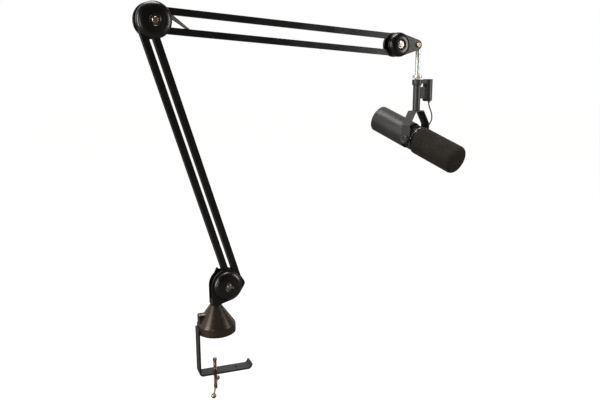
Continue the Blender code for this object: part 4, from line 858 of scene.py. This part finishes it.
def build_drop_rod():
    pivot = joint_point("rod_swing")
    nut = joint_point("lock_nut_turn")
    foot = Matrix.Translation((nut.x, 0, 0))
    flange_low = nut.z + 0.0032
    flange_top, shaft_top, shaft_end = flange_low + 0.0065, pivot.z + 0.002, flange_low - 0.0145
    shaft = turned("drop_rod_turned", rounded([
        (0, shaft_top), (0.0055, shaft_top, 0.001), (0.0055, flange_top + 0.0006), (0.0062, flange_top),
        (0.011, flange_top, 0.0014), (0.011, flange_low, 0.0014), (0.0047, flange_low),
        (0.0045, flange_low - 0.0003), (0.0045, shaft_end, 0.0006), (0, shaft_end)]), foot, 64)
    across = side_frame(pivot, 1)
    head = lathed("rod_head", rounded([
        (0, 0.006), (0.0128, 0.006, 0.0010), (0.0128, -0.006, 0.0010), (0, -0.006)]), across, 96)
    shaft = carve(shaft, "UNION", head)
    shaft = carve(shaft, "DIFFERENCE", prism("rod_hole", 48, 0.0033, -0.02, 0.02, across))
    smooth_by_angle(shaft.data)
    hand_over(even_normals(shaft), "rod", "pale_chrome", "drop_rod")

    collar = turned("lock_nut_turned", rounded([
        (0.0048, nut.z + 0.0029), (0.0074, nut.z + 0.0029, 0.0005), (0.0074, nut.z, 0.0005),
        (0.0048, nut.z)]), foot, 64, closed=True)
    hand_over(collar, "nut", "bright_steel", "lock_nut")
    tooth = prism("knurl_tooth", 4, 0.0005, 0.0003, 0.0026, Matrix.Identity(4))
    ring_of("lock_nut_knurl", tooth, 40, 0.0073, foot @ Matrix.Translation((0, 0, nut.z)), "nut",
            "bright_steel")


MIC_PIVOT = joint_point("mic_tilt")
PIVOT_AXIS = Vector(JOINTS["mic_tilt"]["axis"]).normalized()
FORWARD = Vector((0, 0, 1)).cross(PIVOT_AXIS)
if FORWARD.y > 0:
    FORWARD = -FORWARD
MIC_AXIS = FORWARD * cos(MIC_TILT) - Vector((0, 0, sin(MIC_TILT)))
MIC_FRAME = frame_at(MIC_PIVOT, PIVOT_AXIS, MIC_AXIS.cross(PIVOT_AXIS), MIC_AXIS)


def mount_point(across, height):
    """A point by its distance towards the far side of the yoke and its z."""
    return Vector((MIC_PIVOT.x, 0, height)) - PIVOT_AXIS * across


def build_mount():
    post_top = joint_point("mount_swivel").z
    foot = Matrix.Translation((MIC_PIVOT.x, 0, 0))
    post_low = post_top - 0.0712
    bore_low = post_top - 0.0121
    hand_over(turned("mount_post_turned", rounded([
        (0.0048, post_top), (0.0087, post_top, 0.0008), (0.0087, post_low, 0.0004), (0, post_low)]) + [
        (0, bore_low), (0.0048, bore_low)], foot, 96, closed=True), "mount", "graphite_paint", "mount_post")
    softened("connector_housing", "mount", "graphite_paint", 0.0007, 3, radians(30))
    softened("yoke", "mount", "graphite_paint", 0.0004, 2, radians(30))

    centre, low = middle("connector_insert"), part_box("connector_insert")[0][2]
    face = low + 0.004
    insert = turned("connector_insert_moulded", rounded([
        (0, face), (0.0078, face, 0.0003), (0.009, face - 0.0006, 0.0003), (0.009, low, 0.0003), (0, low)]),
        Matrix.Translation((centre.x, centre.y, 0)), 64)
    hand_over(insert, "mount", "black_plastic", "connector_insert")
    pin = lathed("contact_pin", rounded([
        (0, 0.0135), (0.0012, 0.0135, 0.0009), (0.0012, 0.0002), (0, 0.0002)]), Matrix.Identity(4), 24)
    place = Matrix.Translation((centre.x, centre.y, face)) @ Matrix.Rotation(pi / 2, 4, "Z")
    ring_of("connector_contacts", pin, 3, 0.0045, place, "mount", "contact_gold")


def build_knobs():
    offset = YOKE_ARM_OFFSET + YOKE_THICKNESS / 2 + 0.0003 + GAP
    spigot = 0.0302 - offset
    for label, side in (("near", 1), ("far", -1)):
        direction = PIVOT_AXIS * side
        place = lathe_frame(MIC_PIVOT + direction * offset, direction)
        knob = turned(f"tilt_knob_{label}_turned", rounded([
            (0, 0.0060), (0.0052, 0.0060, 0.0005), (0.0058, 0.0068, 0.0006), (0.0080, 0.0070, 0.0014),
            (0.0099, 0.0052, 0.0010), (0.0099, 0.0004, 0.0004), (0.0088, 0, 0.0003), (0.0025, 0),
            (0.0025, spigot, 0.0002), (0, spigot)]), place, 96)
        hand_over(knob, f"knob_{label}", "graphite_paint", f"tilt_knob_{label}")
        rib = prism("knob_rib", 4, 0.0007, 0.0006, 0.0050, Matrix.Identity(4))
        ring_of(f"tilt_knob_{label}_ribs", rib, 36, 0.0098, place, f"knob_{label}", "graphite_paint")


def smooth_route(points, steps):
    """Points along a smooth curve that passes through the given ones."""
    ends = [2 * points[0] - points[1], *points, 2 * points[-1] - points[-2]]
    route = []
    for a, b, c, d in zip(ends, ends[1:], ends[2:], ends[3:]):
        for step in range(steps):
            t = step / steps
            route.append(0.5 * (2 * b + (c - a) * t + (2 * a - 5 * b + 4 * c - d) * t ** 2
                                + (3 * b - a - 3 * c + d) * t ** 3))
    return route + [points[-1]]


def build_lead():
    """The captive lead, from the connector housing to the gland on the yoke's far arm."""
    housing_height, boss_length, exit_across = 0.0515, 0.004, 0.0515
    gland_rise, gland_length, slope = 0.0137, 0.0063, radians(41)
    start_z = joint_point("mount_swivel").z - housing_height - boss_length - GAP
    gland_axis = -PIVOT_AXIS * cos(slope) + Vector((0, 0, sin(slope)))
    end = mount_point(YOKE_ARM_OFFSET, MIC_PIVOT.z + gland_rise) + gland_axis * (gland_length + GAP)
    route = [mount_point(exit_across + across, start_z - drop) for across, drop in (
        (0, 0), (0.0003, 0.0040), (0.0045, 0.0120), (0.0110, 0.0220), (0.0148, 0.0320),
        (0.0138, 0.0420), (0.0058, 0.0510))]
    route += [end + gland_axis * 0.0045, end]
    points = smooth_route(route, 3)
    curve = bpy.data.curves.new("lead_sheath", "CURVE")
    curve.dimensions = "3D"
    curve.bevel_depth = LEAD_DIAMETER / 2
    curve.bevel_resolution = 4
    curve.use_fill_caps = True
    spline = curve.splines.new("POLY")
    spline.points.add(len(points) - 1)
    for point, place in zip(spline.points, points):
        point.co = (*place, 1)
    lead = add_piece("lead_sheath", curve)
    hand_over(lead, "mount", "black_rubber", "lead")


# ======================================================================================
# Microphone
# ======================================================================================

def build_shell():
    rear, front, lip = -SHELL_REAR, -SHELL_FRONT, 0.0248
    inner = SHELL_RADIUS - 0.0015
    shell = turned("rear_shell_turned", rounded([
        (inner, front), (SHELL_RADIUS, front, 0.0006), (SHELL_RADIUS, rear, 0.0062),
        (lip + 0.0016, rear, 0.0005), (lip, rear + 0.0006, 0.0004), (lip, rear + 0.006),
        (inner, rear + 0.0085)], 8), MIC_FRAME, 144, closed=True)
    hand_over(shell, "mic", "graphite_paint", "rear_shell")
    softened("rear_plate", "mic", "graphite_paint", 0.0003, 2, radians(40))
    screw = lathed("plate_screw", rounded([
        (0, 0.0001), (0.0016, 0.0001), (0.0016, -0.0009, 0.0005), (0.0007, -0.0011), (0.0007, -0.0005),
        (0, -0.0005)]), Matrix.Identity(4), 24)
    face = MIC_FRAME @ Matrix.Translation((0, 0, rear + 0.0015)) @ Matrix.Rotation(pi / 4, 4, "Z")
    ring_of("rear_plate_screws", screw, 4, 0.0205, face, "mic", "bright_steel")
    for label in ("left", "right"):
        softened(f"switch_{label}", f"slider_{label}", "black_plastic", 0.0003, 2, radians(40))


def build_cage():
    """The ring between shell and foam: two flanges, a centre band with the tilt bosses,
    silver wire hoops and the clips that hold them."""
    bore, flange, waist, belt, belt_half = 0.0245, 0.0296, 0.0262, 0.0288, 0.0039
    front_lip, rear_lip = flange - 0.0010, flange - 0.0006
    band = turned("cage_body", rounded([
        (bore, COLLAR_HALF), (front_lip, COLLAR_HALF, 0.0004), (front_lip, COLLAR_HALF - 0.0022, 0.0003),
        (waist, COLLAR_HALF - 0.0028, 0.0003), (waist, belt_half + 0.0006, 0.0003),
        (belt, belt_half, 0.0004), (belt, -belt_half, 0.0004), (waist, -belt_half - 0.0006, 0.0003),
        (waist, 0.0028 - COLLAR_HALF, 0.0003), (rear_lip, 0.0022 - COLLAR_HALF, 0.0003),
        (rear_lip, -COLLAR_HALF, 0.0004), (bore, -COLLAR_HALF)], 3), MIC_FRAME, 128, closed=True)
    boss_end = YOKE_ARM_OFFSET - YOKE_THICKNESS / 2 - 0.0003 - GAP
    bosses, holes = [], []
    for label, side in (("near", 1), ("far", -1)):
        place = lathe_frame(MIC_PIVOT, PIVOT_AXIS * side)
        bosses.append(lathed(f"boss_{label}", rounded([
            (0, boss_end), (0.0078, boss_end, 0.0005), (0.0078, 0.0265, 0.0003), (0, 0.0265)]), place, 64))
        holes.append(prism(f"boss_hole_{label}", 32, 0.0028, 0.0292, 0.05, place))
    band = carve(band, "UNION", *bosses)
    band = carve(band, "DIFFERENCE", *holes)
    smooth_by_angle(band.data)
    hand_over(even_normals(band), "mic", "black_plastic", "collar")

    wire, sides = 0.00085, 12
    around = [2 * pi * i / sides for i in range(sides)]
    for label, height, radius, finish in (("front", 0.0063, 0.0293, "silver_wire"),
                                          ("rear", -0.0066, 0.0290, "black_plastic")):
        loop = [(radius + wire * cos(angle), height + wire * sin(angle)) for angle in around]
        hand_over(turned(f"cage_hoop_{label}", loop, MIC_FRAME, 128, closed=True), "mic", finish)
    clip = prism("hoop_clip", 4, 0.0009, -0.0062, 0.0060, Matrix.Identity(4))
    ring_of("cage_clips", clip, 12, 0.0292, MIC_FRAME @ Matrix.Rotation(pi / 2 + pi / 12, 4, "Z"), "mic",
            "black_plastic")


def build_foam():
    socket, side, edge, crown = GRILLE_RADIUS + 0.0004, FOAM_RADIUS - 0.0002, 0.0125, 0.0016
    flat, rows, rear_edge = FOAM_RADIUS - edge, 46, FOAM_REAR + 0.0022
    outline = [(flat * i / 14, FOAM_FRONT - crown * (i / 14) ** 2) for i in range(15)]
    for index in range(1, 17):
        angle = pi / 2 * index / 16
        outline.append((side - edge * (1 - sin(angle)),
                        FOAM_FRONT - crown - edge * 0.92 * (1 - cos(angle))))
    start = outline[-1][1]
    outline += [(side, start + (rear_edge - start) * row / rows) for row in range(1, rows)]
    outline += rounded([(side, rear_edge), (FOAM_RADIUS - 0.0006, FOAM_REAR, 0.0018), (socket, FOAM_REAR)])
    outline += [(socket, GRILLE_FRONT + 0.001), (0, GRILLE_FRONT + 0.001)]
    base = lathed("foam_blank", outline, Matrix.Identity(4), 160)
    base.data.shade_smooth()
    foam = grow("foam_windscreen_soft", "uneven", MIC_FRAME, "dark_foam", host=base, Scale=260.0,
                Depth=0.00055, Seed=3.0)
    foam.data.shade_smooth()
    hand_over(foam, "mic", "dark_foam", "foam_windscreen")


def dress_hidden_nodes():
    """CAD nodes that keep their own shape get a worked finish."""
    for node, finish in (("grille_tube", "grille_steel"), ("capsule", "bright_steel"),
                         ("shock_ring", "black_rubber"), ("transformer", "spring_steel")):
        mesh = frame["nodes"][node].data
        for index in range(max(1, len(mesh.materials))):
            if index < len(mesh.materials):
                mesh.materials[index] = FINISHES[finish]
            else:
                mesh.materials.append(FINISHES[finish])


build_camera()
build_lead()
build_studio()
build_base()
build_clamp_screw()
build_housings()
build_rails()
build_drop_rod()
build_mount()
build_knobs()
build_shell()
build_cage()
build_foam()
dress_hidden_nodes()
